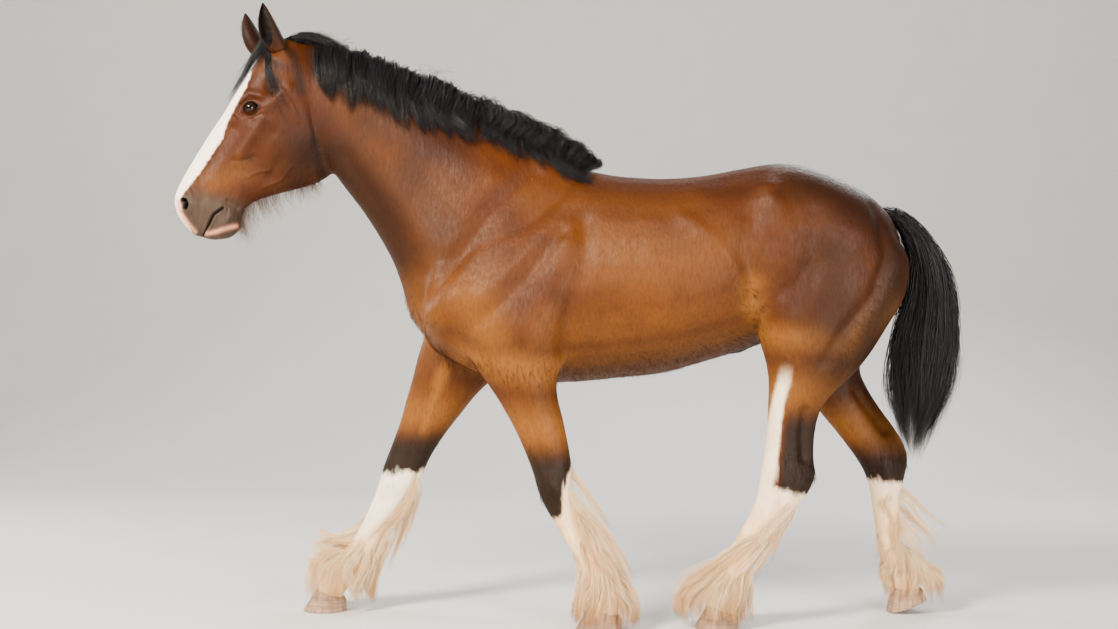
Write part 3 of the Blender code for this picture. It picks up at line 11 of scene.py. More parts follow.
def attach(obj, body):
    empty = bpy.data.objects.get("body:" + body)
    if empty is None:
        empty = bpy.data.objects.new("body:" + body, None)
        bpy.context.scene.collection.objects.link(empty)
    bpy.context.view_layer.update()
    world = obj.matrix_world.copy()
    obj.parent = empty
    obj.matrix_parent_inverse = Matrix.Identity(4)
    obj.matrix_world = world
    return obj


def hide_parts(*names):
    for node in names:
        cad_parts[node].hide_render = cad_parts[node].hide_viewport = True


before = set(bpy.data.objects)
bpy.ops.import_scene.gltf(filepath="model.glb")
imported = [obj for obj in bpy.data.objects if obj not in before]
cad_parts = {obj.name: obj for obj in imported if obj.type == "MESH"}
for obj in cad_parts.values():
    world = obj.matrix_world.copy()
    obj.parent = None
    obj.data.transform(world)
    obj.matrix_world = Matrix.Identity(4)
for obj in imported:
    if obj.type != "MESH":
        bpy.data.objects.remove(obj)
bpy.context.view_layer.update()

# The horse's own measures, in metres, as its solids have them
Rib = namedtuple("Rib", "front back half side wide round_front round_back", defaults=(0.0, 0.5, 0.5, 0.5))
Stroke = namedtuple("Stroke", "path radius height side", defaults=(0,))
Hoof = namedtuple("Hoof", "toe heel side pitch")

# The horse faces -X and its left side, the near one, faces -Y
NEAR, OFF = -1, 1
HEAD_YAW = math.radians(13)
HEAD_PIVOT = (-1.06, -0.03)
SECTION_SIDES = 32
RIBS_PER_GAP = 4

# Each rib: its front or top point and its rear or bottom one in the side view, half width,
# middle line, where it is widest, and how full its two ends are
TORSO = (
    Rib((-0.575, 1.34), (-0.590, 1.17), 0.150),
    Rib((-0.540, 1.46), (-0.555, 1.07), 0.235),
    Rib((-0.430, 1.55), (-0.430, 0.990), 0.275, 0, 0.58, 0.5, 0.42),
    Rib((-0.300, 1.63), (-0.300, 0.945), 0.292, 0, 0.58, 0.5, 0.42),
    Rib((-0.140, 1.70), (-0.140, 0.925), 0.300, 0, 0.57, 0.62, 0.45),
    Rib((0.030, 1.755), (0.030, 0.930), 0.312, 0, 0.56, 0.66),
    Rib((0.180, 1.738), (0.180, 0.945), 0.335, 0, 0.55, 0.58),
    Rib((0.340, 1.728), (0.340, 0.962), 0.355, 0, 0.54, 0.50),
    Rib((0.500, 1.738), (0.500, 1.005), 0.360, 0, 0.52, 0.46),
    Rib((0.650, 1.765), (0.650, 1.050), 0.345, 0, 0.48, 0.44),
    Rib((0.780, 1.785), (0.780, 1.090), 0.325, 0, 0.45, 0.42),
    Rib((0.900, 1.773), (0.900, 1.105), 0.315, 0, 0.42, 0.40),
    Rib((1.030, 1.728), (1.030, 1.115), 0.300, 0, 0.42, 0.42),
    Rib((1.140, 1.668), (1.140, 1.150), 0.260, 0, 0.42, 0.45),
    Rib((1.225, 1.590), (1.225, 1.210), 0.190, 0, 0.45),
    Rib((1.268, 1.500), (1.268, 1.280), 0.110),
)
NECK = (
    Rib((-1.130, 2.250), (-1.030, 1.840), 0.075, -0.035, 0.50, 0.60, 0.50),
    Rib((-1.020, 2.255), (-0.955, 1.765), 0.095, -0.030, 0.55, 0.62, 0.50),
    Rib((-0.900, 2.210), (-0.895, 1.685), 0.108, -0.022, 0.56, 0.64, 0.50),
    Rib((-0.750, 2.150), (-0.830, 1.600), 0.120, -0.014, 0.58, 0.64, 0.50),
    Rib((-0.590, 2.080), (-0.765, 1.500), 0.138, -0.006, 0.60, 0.64, 0.48),
    Rib((-0.430, 2.000), (-0.708, 1.395), 0.163, 0, 0.60, 0.64, 0.46),
    Rib((-0.260, 1.920), (-0.670, 1.290), 0.195, 0, 0.60, 0.62, 0.45),
    Rib((-0.090, 1.840), (-0.640, 1.190), 0.220, 0, 0.60, 0.60, 0.45),
    Rib((0.050, 1.775), (-0.570, 1.100), 0.230, 0, 0.60, 0.60, 0.45),
    Rib((0.140, 1.700), (-0.450, 1.030), 0.210, 0, 0.55, 0.60, 0.50),
)
HEAD = (
    Rib((-1.100, 2.270), (-1.000, 2.130), 0.060, 0, 0.50, 0.45, 0.50),
    Rib((-1.175, 2.255), (-0.945, 2.030), 0.092, 0, 0.50, 0.42, 0.50),
    Rib((-1.232, 2.185), (-0.915, 1.935), 0.106, 0, 0.42, 0.38, 0.55),
    Rib((-1.278, 2.110), (-0.907, 1.850), 0.112, 0, 0.38, 0.36, 0.58),
    Rib((-1.320, 2.045), (-0.925, 1.768), 0.108, 0, 0.36, 0.38, 0.58),
    Rib((-1.361, 1.975), (-0.988, 1.712), 0.094, 0, 0.36, 0.42, 0.58),
    Rib((-1.404, 1.910), (-1.082, 1.680), 0.078, 0, 0.38, 0.46, 0.56),
    Rib((-1.447, 1.840), (-1.172, 1.655), 0.067, 0, 0.42, 0.48, 0.52),
    Rib((-1.487, 1.772), (-1.244, 1.628), 0.062, 0, 0.46, 0.48, 0.50),
    Rib((-1.521, 1.710), (-1.286, 1.592), 0.063, 0, 0.48, 0.46, 0.45),
    Rib((-1.546, 1.650), (-1.296, 1.552), 0.067, 0, 0.48, 0.42, 0.42),
    Rib((-1.542, 1.592), (-1.302, 1.518), 0.062, 0, 0.48, 0.40, 0.42),
    Rib((-1.512, 1.538), (-1.338, 1.489), 0.052, 0, 0.50, 0.42, 0.45),
    Rib((-1.475, 1.500), (-1.400, 1.480), 0.032),
)
SHEATH = (
    Rib((0.520, 1.130), (0.520, 1.070), 0.022),
    Rib((0.570, 1.130), (0.580, 1.045), 0.038),
    Rib((0.640, 1.140), (0.650, 1.040), 0.040),
    Rib((0.690, 1.160), (0.715, 1.075), 0.030),
)
LEGS = {
    "near_fore": (
        Rib((-0.460, 1.340), (0.060, 1.420), 0.070, 0.205),
        Rib((-0.470, 1.240), (0.060, 1.280), 0.100, 0.208),
        Rib((-0.440, 1.130), (0.030, 1.150), 0.112, 0.205),
        Rib((-0.390, 1.020), (-0.025, 1.050), 0.106, 0.205),
        Rib((-0.325, 0.920), (-0.062, 0.955), 0.090, 0.205),
        Rib((-0.285, 0.860), (-0.062, 0.885), 0.080, 0.205),
        Rib((-0.226, 0.755), (-0.040, 0.790), 0.067, 0.205),
        Rib((-0.182, 0.655), (-0.018, 0.680), 0.058, 0.205),
        Rib((-0.158, 0.590), (-0.010, 0.610), 0.060, 0.205),
        Rib((-0.138, 0.520), (-0.013, 0.540), 0.061, 0.205),
        Rib((-0.108, 0.455), (0.005, 0.475), 0.050, 0.205),
        Rib((-0.070, 0.390), (0.040, 0.420), 0.042, 0.205),
        Rib((-0.028, 0.320), (0.078, 0.350), 0.040, 0.205),
        Rib((0.008, 0.262), (0.112, 0.285), 0.043, 0.205),
        Rib((0.026, 0.210), (0.150, 0.218), 0.054, 0.205),
        Rib((0.036, 0.155), (0.152, 0.150), 0.052, 0.205),
        Rib((0.048, 0.105), (0.165, 0.085), 0.062, 0.205),
        Rib((0.058, 0.070), (0.168, 0.045), 0.060, 0.205),
    ),
    "off_fore": (
        Rib((-0.520, 1.320), (0.000, 1.420), 0.070, 0.200),
        Rib((-0.560, 1.220), (-0.040, 1.280), 0.100, 0.204),
        Rib((-0.600, 1.120), (-0.140, 1.130), 0.112, 0.200),
        Rib((-0.630, 1.030), (-0.260, 0.990), 0.106, 0.200),
        Rib((-0.652, 0.940), (-0.380, 0.880), 0.092, 0.200),
        Rib((-0.675, 0.860), (-0.455, 0.790), 0.078, 0.200),
        Rib((-0.702, 0.760), (-0.525, 0.700), 0.066, 0.200),
        Rib((-0.737, 0.665), (-0.578, 0.615), 0.059, 0.200),
        Rib((-0.762, 0.600), (-0.608, 0.550), 0.061, 0.200),
        Rib((-0.782, 0.535), (-0.645, 0.485), 0.061, 0.200),
        Rib((-0.800, 0.475), (-0.685, 0.430), 0.050, 0.200),
        Rib((-0.828, 0.410), (-0.725, 0.365), 0.042, 0.200),
        Rib((-0.865, 0.335), (-0.768, 0.300), 0.040, 0.200),
        Rib((-0.905, 0.272), (-0.798, 0.240), 0.043, 0.200),
        Rib((-0.950, 0.225), (-0.828, 0.178), 0.054, 0.200),
        Rib((-0.985, 0.175), (-0.880, 0.125), 0.052, 0.200),
        Rib((-1.030, 0.125), (-0.925, 0.070), 0.062, 0.200),
        Rib((-1.040, 0.080), (-0.935, 0.040), 0.060, 0.200),
    ),
    "near_hind": (
        Rib((0.800, 1.600), (1.230, 1.500), 0.100, 0.150),
        Rib((0.720, 1.450), (1.282, 1.400), 0.135, 0.165),
        Rib((0.690, 1.300), (1.265, 1.270), 0.148, 0.172),
        Rib((0.692, 1.180), (1.195, 1.150), 0.138, 0.180),
        Rib((0.705, 1.090), (1.125, 1.040), 0.120, 0.182),
        Rib((0.728, 1.010), (1.060, 0.960), 0.100, 0.180),
        Rib((0.738, 0.940), (0.990, 0.895), 0.083, 0.178),
        Rib((0.738, 0.865), (0.945, 0.835), 0.071, 0.175, 0.42, 0.45, 0.60),
        Rib((0.735, 0.790), (0.925, 0.765), 0.062, 0.172, 0.40, 0.45, 0.68),
        Rib((0.731, 0.715), (0.918, 0.700), 0.058, 0.170, 0.40, 0.45, 0.74),
        Rib((0.722, 0.650), (0.917, 0.640), 0.059, 0.168, 0.40, 0.45, 0.70),
        Rib((0.711, 0.590), (0.922, 0.585), 0.061, 0.168, 0.42, 0.45, 0.60),
        Rib((0.704, 0.535), (0.895, 0.515), 0.057, 0.168),
        Rib((0.688, 0.475), (0.835, 0.440), 0.048, 0.168),
        Rib((0.655, 0.405), (0.775, 0.365), 0.043, 0.168),
        Rib((0.612, 0.335), (0.725, 0.290), 0.041, 0.168),
        Rib((0.575, 0.280), (0.685, 0.235), 0.045, 0.168),
        Rib((0.540, 0.230), (0.655, 0.178), 0.054, 0.168),
        Rib((0.515, 0.175), (0.625, 0.125), 0.051, 0.168),
        Rib((0.505, 0.115), (0.618, 0.078), 0.059, 0.168),
        Rib((0.512, 0.070), (0.615, 0.040), 0.057, 0.168),
    ),
    "off_hind": (
        Rib((0.830, 1.600), (1.230, 1.500), 0.100, 0.150),
        Rib((0.790, 1.450), (1.282, 1.400), 0.135, 0.165),
        Rib((0.775, 1.300), (1.275, 1.280), 0.148, 0.172),
        Rib((0.800, 1.170), (1.245, 1.180), 0.135, 0.180),
        Rib((0.840, 1.060), (1.205, 1.100), 0.115, 0.182),
        Rib((0.893, 0.960), (1.165, 1.035), 0.100, 0.180),
        Rib((0.940, 0.880), (1.155, 0.965), 0.086, 0.178),
        Rib((0.992, 0.800), (1.190, 0.890), 0.073, 0.175, 0.42, 0.45, 0.60),
        Rib((1.050, 0.730), (1.235, 0.820), 0.063, 0.172, 0.40, 0.45, 0.68),
        Rib((1.100, 0.665), (1.285, 0.752), 0.059, 0.170, 0.40, 0.45, 0.74),
        Rib((1.140, 0.610), (1.325, 0.685), 0.060, 0.168, 0.40, 0.45, 0.70),
        Rib((1.170, 0.555), (1.345, 0.615), 0.061, 0.168, 0.42, 0.45, 0.60),
        Rib((1.188, 0.500), (1.330, 0.535), 0.057, 0.168),
        Rib((1.197, 0.440), (1.312, 0.455), 0.047, 0.168),
        Rib((1.208, 0.365), (1.312, 0.360), 0.042, 0.168),
        Rib((1.222, 0.285), (1.325, 0.265), 0.043, 0.168),
        Rib((1.232, 0.225), (1.350, 0.200), 0.053, 0.168),
        Rib((1.248, 0.170), (1.365, 0.155), 0.051, 0.168),
        Rib((1.268, 0.125), (1.392, 0.125), 0.059, 0.168),
        Rib((1.280, 0.085), (1.390, 0.090), 0.057, 0.168),
    ),
}
SIDE_WORDS = {NEAR: "left", OFF: "right"}
LEG_WORDS = {"near_fore": "fore_left", "off_fore": "fore_right",
             "near_hind": "hind_left", "off_hind": "hind_right"}
LEG_SIDE = {"near_fore": NEAR, "off_fore": OFF, "near_hind": NEAR, "off_hind": OFF}
HOOVES = {
    "near_fore": Hoof(0.003, 0.180, 0.205, 0),
    "off_fore": Hoof(-1.092, -0.918, 0.200, 0),
    "near_hind": Hoof(0.458, 0.626, 0.168, 0),
    "off_hind": Hoof(1.258, 1.426, 0.168, 20),
}
HOOF_HALF = 0.084
HOOF_TOE_HIGH = 0.085
HOOF_HEEL_HIGH = 0.050
HOOF_TOE_LEAN = 0.052
TOE_FLAT = 0.014
HOOF_SIDES = 20
HOOF_EDGE = 0.003
# Moves the whole model so that its origin is under the middle of its box
ORIGIN_X = -0.0058

# Relief pushed out of the surface (or in, below zero) along side-view lines: trunk and legs
TRUNK_STROKES = (
    Stroke(((0.02, 1.66), (-0.10, 1.53), (-0.20, 1.40), (-0.34, 1.27)), 0.048, 0.013),
    Stroke(((-0.15, 1.74), (-0.33, 1.57), (-0.46, 1.38), (-0.55, 1.25)), 0.034, -0.015),
    Stroke(((-0.50, 1.19), (-0.45, 1.26)), 0.070, 0.022),
    Stroke(((-0.03, 1.44), (-0.08, 1.28), (-0.16, 1.14)), 0.080, 0.020),
    Stroke(((0.04, 1.54), (0.03, 1.38), (-0.01, 1.22), (-0.04, 1.07)), 0.034, -0.016),
    Stroke(((-0.05, 1.50), (-0.20, 1.32), (-0.36, 1.16)), 0.026, -0.008),
    Stroke(((-0.47, 1.12), (-0.36, 1.05), (-0.30, 0.96)), 0.028, -0.010),
    Stroke(((-0.88, 1.80), (-0.80, 1.67), (-0.67, 1.46), (-0.60, 1.35)), 0.026, -0.009),
    Stroke(((-0.95, 2.10), (-0.62, 1.88), (-0.32, 1.72)), 0.080, 0.010),
    Stroke(((-0.80, 1.92), (-0.66, 1.72), (-0.50, 1.54)), 0.060, -0.005),
    Stroke(((0.66, 1.56), (0.645, 1.42), (0.66, 1.26)), 0.050, -0.020),
    Stroke(((0.40, 1.57), (0.52, 1.47), (0.61, 1.36), (0.645, 1.22)), 0.030, 0.007),
    Stroke(((0.735, 1.665), (0.74, 1.64)), 0.045, 0.018),
    Stroke(((0.75, 1.60), (0.80, 1.48), (0.815, 1.34)), 0.036, 0.010),
    Stroke(((0.785, 1.235), (0.79, 1.20)), 0.055, 0.015),
    Stroke(((0.90, 1.58), (0.90, 1.42), (0.86, 1.26), (0.84, 1.14)), 0.032, -0.008),
    Stroke(((1.15, 1.60), (1.175, 1.42), (1.12, 1.27), (1.00, 1.12), (0.94, 1.02)), 0.026, -0.013),
    Stroke(((1.05, 1.48), (1.02, 1.30)), 0.070, 0.010),
    Stroke(((0.56, 1.71), (0.68, 1.73)), 0.045, -0.006),
    Stroke(((0.17, 1.40), (0.20, 1.18)), 0.030, 0.003),
    Stroke(((0.28, 1.42), (0.32, 1.16)), 0.030, 0.003),
    Stroke(((-0.22, 0.90), (-0.165, 0.78), (-0.125, 0.66)), 0.016, -0.006, NEAR),
    Stroke(((-0.16, 0.92), (-0.11, 0.80), (-0.08, 0.68)), 0.030, 0.005, NEAR),
    Stroke(((-0.115, 0.58), (-0.10, 0.55)), 0.026, 0.006, NEAR),
    Stroke(((-0.045, 0.455), (-0.005, 0.385), (0.045, 0.305)), 0.012, -0.007, NEAR),
    Stroke(((-0.58, 0.88), (-0.615, 0.76), (-0.65, 0.66)), 0.016, -0.006, OFF),
    Stroke(((-0.705, 0.58), (-0.715, 0.54)), 0.026, 0.006, OFF),
    Stroke(((-0.725, 0.435), (-0.770, 0.355), (-0.815, 0.285)), 0.012, -0.007, OFF),
    Stroke(((0.872, 0.83), (0.868, 0.73), (0.872, 0.65)), 0.020, -0.016, NEAR),
    Stroke(((0.80, 0.60), (0.79, 0.55)), 0.028, 0.006, NEAR),
    Stroke(((0.775, 0.465), (0.725, 0.385), (0.675, 0.305)), 0.012, -0.007, NEAR),
    Stroke(((1.130, 0.885), (1.185, 0.805), (1.245, 0.73)), 0.020, -0.016, OFF),
    Stroke(((1.245, 0.60), (1.26, 0.55)), 0.028, 0.006, OFF),
    Stroke(((1.262, 0.47), (1.268, 0.38), (1.280, 0.29)), 0.012, -0.007, OFF),
)
# The same on the head, before it is turned
HEAD_STROKES = (
    Stroke(((-1.215, 1.940), (-1.255, 1.875), (-1.300, 1.805)), 0.018, 0.007),
    Stroke(((-1.190, 1.890), (-1.240, 1.800), (-1.280, 1.745)), 0.028, -0.006),
    Stroke(((-1.030, 1.960), (-1.060, 1.890), (-1.110, 1.840)), 0.075, 0.016),
    Stroke(((-1.150, 1.790), (-1.185, 1.725)), 0.020, -0.006),
    Stroke(((-1.335, 1.905), (-1.390, 1.810), (-1.430, 1.740)), 0.026, -0.008),
    Stroke(((-1.300, 2.015), (-1.268, 2.040), (-1.225, 2.030)), 0.018, 0.010),
    Stroke(((-1.195, 2.075), (-1.185, 2.060)), 0.022, -0.012),
    Stroke(((-1.205, 1.985), (-1.165, 2.020), (-1.120, 2.065)), 0.022, 0.008),
    Stroke(((-1.305, 1.955), (-1.290, 1.940), (-1.262, 1.935)), 0.014, -0.003),
    Stroke(((-1.495, 1.665), (-1.478, 1.625), (-1.490, 1.590)), 0.014, 0.007),
    Stroke(((-1.532, 1.648), (-1.538, 1.610)), 0.014, 0.005),
    Stroke(((-1.455, 1.700), (-1.440, 1.640)), 0.018, -0.004),
    Stroke(((-1.366, 1.602), (-1.400, 1.577), (-1.420, 1.536)), 0.008, -0.007),
    Stroke(((-1.340, 1.575), (-1.375, 1.525)), 0.018, 0.007),
    Stroke(((-1.310, 1.605), (-1.345, 1.625)), 0.012, -0.005),
)
EYE = (-1.262, 0.083, 1.984)
EYE_RADIUS = 0.026
EYE_OUT = (-0.20, 0.97, 0.12)
EYE_SLOPE = math.radians(15)
NOSTRIL = ((-1.517, 1.626), (-1.509, 1.602))
MOUTH = ((-1.366, 1.602), (-1.400, 1.577), (-1.420, 1.536), (-1.440, 1.498))
# Each ear's base and tip; the off one leans forwards
EARS = {
    NEAR: ((-1.145, -0.062, 2.200), (-1.215, -0.085, 2.388)),
    OFF: ((-1.203, 0.058, 2.200), (-1.274, 0.086, 2.376)),
}


def rounded(rows, per_gap):
    """Rows of numbers with more between them, on a Catmull-Rom curve through the given ones."""
    rows = np.vstack([2 * rows[0] - rows[1], rows, 2 * rows[-1] - rows[-2]])
    found = []
    for i in range(1, len(rows) - 2):
        a, b, c, d = rows[i - 1 : i + 3]
        for t in np.arange(per_gap) / per_gap:
            line = 2 * b + (c - a) * t
            bend = (2 * a - 5 * b + 4 * c - d) * t**2 + (3 * b - a - 3 * c + d) * t**3
            found.append(0.5 * (line + bend))
    return np.array([*found, rows[-2]])


def densify(ribs, per_gap):
    """More ribs on a curve through the given ones."""
    rows = rounded(np.array([(*r.front, *r.back, *r[2:]) for r in ribs], float), per_gap)
    return [Rib((r[0], r[1]), (r[2], r[3]), *r[4:]) for r in rows]


def ring(rib, flip, sides):
    """One closed cross-section, from its front or top point round past its rear or bottom one."""
    front, back = np.array(rib.front), np.array(rib.back)
    points = []
    for i in range(sides):
        turn = 2 * math.pi * i / sides
        c, s = math.cos(turn), math.sin(turn)
        along = rib.wide - c * (rib.wide if c > 0 else 1 - rib.wide)
        power = 2 * (rib.round_front if c > 0 else rib.round_back)
        x, z = front + (back - front) * along
        points.append((x, flip * rib.side + math.copysign(rib.half * abs(s) ** power, s), z))
    return points


def close_loft(bm, rings):
    """Joins rings of points with faces and closes both ends."""
    for a, b in zip(rings, rings[1:]):
        for i in range(len(a)):
            j = (i + 1) % len(a)
            bm.faces.new((a[i], a[j], b[j], b[i]))
    bm.faces.new(rings[0])
    bm.faces.new(list(reversed(rings[-1])))


def loft(bm, ribs, flip=1, sides=SECTION_SIDES, per_gap=RIBS_PER_GAP):
    """A closed body through ribs, added to bm."""
    rings = [[bm.verts.new(p) for p in ring(r, flip, sides)] for r in densify(ribs, per_gap)]
    close_loft(bm, rings)
    return [v for loop in rings for v in loop]


def object_from(bm, name):
    """A new object holding bm's faces, turned outwards."""
    bmesh.ops.recalc_face_normals(bm, faces=bm.faces)
    mesh = bpy.data.meshes.new(name)
    bm.to_mesh(mesh)
    bm.free()
    obj = bpy.data.objects.new(name, mesh)
    bpy.context.scene.collection.objects.link(obj)
    return obj


def applied(obj):
    """Applies every modifier obj has."""
    bpy.context.view_layer.update()
    graph = bpy.context.evaluated_depsgraph_get()
    obj.data = bpy.data.meshes.new_from_object(obj.evaluated_get(graph))
    obj.modifiers.clear()
    return obj


def head_turn():
    """From the straight head to where it is carried, turned a little to the near side."""
    x, y = HEAD_PIVOT
    return Matrix.Translation((x, y, 0)) @ Matrix.Rotation(HEAD_YAW, 4, "Z") @ Matrix.Translation((-x, 0, 0))


def flesh():
    """The overlapping lofts of the whole animal as one object."""
    bm = bmesh.new()
    loft(bm, HEAD)
    bmesh.ops.transform(bm, matrix=head_turn(), verts=bm.verts)
    loft(bm, TORSO)
    loft(bm, NECK)
    loft(bm, SHEATH)
    for name, ribs in LEGS.items():
        loft(bm, ribs, LEG_SIDE[name])
    ear_roots(bm)
    return object_from(bm, "coat_skin")


def mesh_arrays(mesh):
    """The mesh's points and point normals as arrays."""
    co = np.empty(len(mesh.vertices) * 3, np.float32)
    mesh.vertices.foreach_get("co", co)
    normals = np.empty(len(mesh.vertices) * 3, np.float32)
    mesh.vertex_normals.foreach_get("vector", normals)
    return co.reshape(-1, 3).astype(float), normals.reshape(-1, 3).astype(float)


def line_distance(points, path):
    """How far each side-view point is from a line through path."""
    path = np.array(path, float)
    best = np.full(len(points), np.inf)
    for a, b in zip(path, path[1:]):
        along = np.clip((points - a) @ (b - a) / max((b - a) @ (b - a), 1e-12), 0, 1)
        best = np.minimum(best, np.linalg.norm(points - (a + along[:, None] * (b - a)), axis=1))
    return best


def near_line(points, path, wide):
    """1 on a side-view line through path, and less the further a point is from it."""
    return np.exp(-((line_distance(points[:, [0, 2]], path) / wide) ** 2))


def near_spot(points, x, z, long, high):
    """1 at a side-view place, and less away from it."""
    return np.exp(-(((points[:, 0] - x) / long) ** 2 + ((points[:, 2] - z) / high) ** 2))


def step(value, low, high):
    """0 below low, 1 above high, smooth between."""
    t = np.clip((value - low) / (high - low), 0, 1)
    return t * t * (3 - 2 * t)


def relief(points, normals, strokes):
    """How far each point moves out along its normal for the strokes."""
    total = np.zeros(len(points))
    facing = step(np.abs(normals[:, 1]), 0.15, 0.60)
    for stroke in strokes:
        near = near_line(points, stroke.path, stroke.radius)
        if stroke.side:
            near = near * step(stroke.side * points[:, 1], 0.02, 0.08)
        total += stroke.height * near * facing
    return total


def head_part(co):
    """1 on the head, 0 on the neck behind it."""
    edge = -1.03 - 0.30 * (co[:, 2] - 2.05)
    return step(edge - co[:, 0], -0.02, 0.04)


def to_head(points):
    """Points or directions in the straight head's own frame."""
    turned = np.array(head_turn().inverted())
    return points @ turned[:3, :3].T + turned[:3, 3]


def skin():
    """The whole animal's surface as one closed body, without hair."""
    obj = flesh()
    remesh = obj.modifiers.new("Remesh", "REMESH")
    remesh.mode = "VOXEL"
    remesh.voxel_size = SKIN_VOXEL
    applied(obj)
    co, _ = mesh_arrays(obj.data)
    trunk = step(co[:, 2], 0.70, 1.05) * (1 - 0.9 * head_part(co))
    soft = np.round(0.12 + 0.88 * trunk, 2)
    group = obj.vertex_groups.new(name="soft")
    for level in np.unique(soft):
        group.add(np.flatnonzero(soft == level).tolist(), float(level), "REPLACE")
    smooth = obj.modifiers.new("Smooth", "SMOOTH")
    smooth.factor = 0.5
    smooth.iterations = SKIN_SOFTENING
    smooth.vertex_group = "soft"
    applied(obj)
    obj.vertex_groups.clear()
    finer(obj)
    co, normals = mesh_arrays(obj.data)
    on_head = head_part(co)
    turned = np.array(head_turn().to_3x3().inverted())
    out = relief(co, normals, TRUNK_STROKES) * (1 - on_head)
    out += relief(to_head(co), normals @ turned.T, HEAD_STROKES) * on_head
    co += normals * out[:, None]
    obj.data.vertices.foreach_set("co", co.astype(np.float32).ravel())
    obj.data.update()
    return obj


def eye_axes(side):
    """The eye's long, high and outward directions; its front corner is the lower one."""
    out = Vector((EYE_OUT[0], side * EYE_OUT[1], EYE_OUT[2])).normalized()
    long = Vector((-math.cos(EYE_SLOPE), 0, -math.sin(EYE_SLOPE)))
    long = (long - out * long.dot(out)).normalized()
    high = long.cross(out)
    return long, high if high.z > 0 else -high, out


def ear_axes(side):
    """An ear's base, the way to its tip, the way it opens and the way across it."""
    base, tip = (Vector(p) for p in EARS[side])
    axis = tip - base
    opening = Vector((-0.72, side * 0.62, 0.0))
    opening = (opening - axis * opening.dot(axis) / axis.length_squared).normalized()
    return base, axis, opening, axis.normalized().cross(opening)


def hoof_body(bm, hoof, flip):
    """One hoof, its wall leaning back from the toe, with a flat sole."""
    toe, heel, side, half = hoof.toe, hoof.heel, hoof.side, HOOF_HALF
    coronet = (toe + HOOF_TOE_LEAN, HOOF_TOE_HIGH), (heel - 0.006, HOOF_HEEL_HIGH)
    ribs = [
        Rib((toe, 0.0), (heel, 0.0), half, side, 0.48, 0.44, 0.36),
        Rib((toe + 0.016, 0.026), (heel + 0.001, 0.016), half * 0.965, side, 0.48, 0.44, 0.38),
        Rib((toe + 0.034, 0.056), (heel, 0.034), half * 0.90, side, 0.48, 0.44, 0.40),
        Rib(*coronet, half * 0.83, side, 0.48, 0.46, 0.44),
    ]
    made = loft(bm, ribs, flip, HOOF_SIDES, 1)
    if hoof.pitch:
        tilt = Matrix.Rotation(-math.radians(hoof.pitch), 3, "Y")
        bmesh.ops.rotate(bm, cent=(hoof.toe + TOE_FLAT, 0, 0), matrix=tilt, verts=made)


# The tail's hair, front and rear edge in the side view with half widths
TAIL = (
    Rib((1.205, 1.625), (1.235, 1.560), 0.045),
    Rib((1.265, 1.622), (1.262, 1.540), 0.055),
    Rib((1.330, 1.590), (1.278, 1.500), 0.064),
    Rib((1.385, 1.535), (1.300, 1.450), 0.070),
    Rib((1.428, 1.465), (1.312, 1.390), 0.074),
    Rib((1.468, 1.375), (1.306, 1.320), 0.078, -0.003),
    Rib((1.492, 1.270), (1.284, 1.240), 0.083, -0.006),
    Rib((1.502, 1.150), (1.252, 1.150), 0.086, -0.010),
    Rib((1.500, 1.030), (1.232, 1.050), 0.086, -0.016),
    Rib((1.482, 0.920), (1.222, 0.955), 0.080, -0.022),
    Rib((1.448, 0.825), (1.228, 0.865), 0.068, -0.026),
    Rib((1.408, 0.750), (1.258, 0.770), 0.050, -0.028),
    Rib((1.372, 0.685), (1.292, 0.690), 0.028, -0.028),
    Rib((1.342, 0.612), (1.325, 0.612), 0.006, -0.028),
)
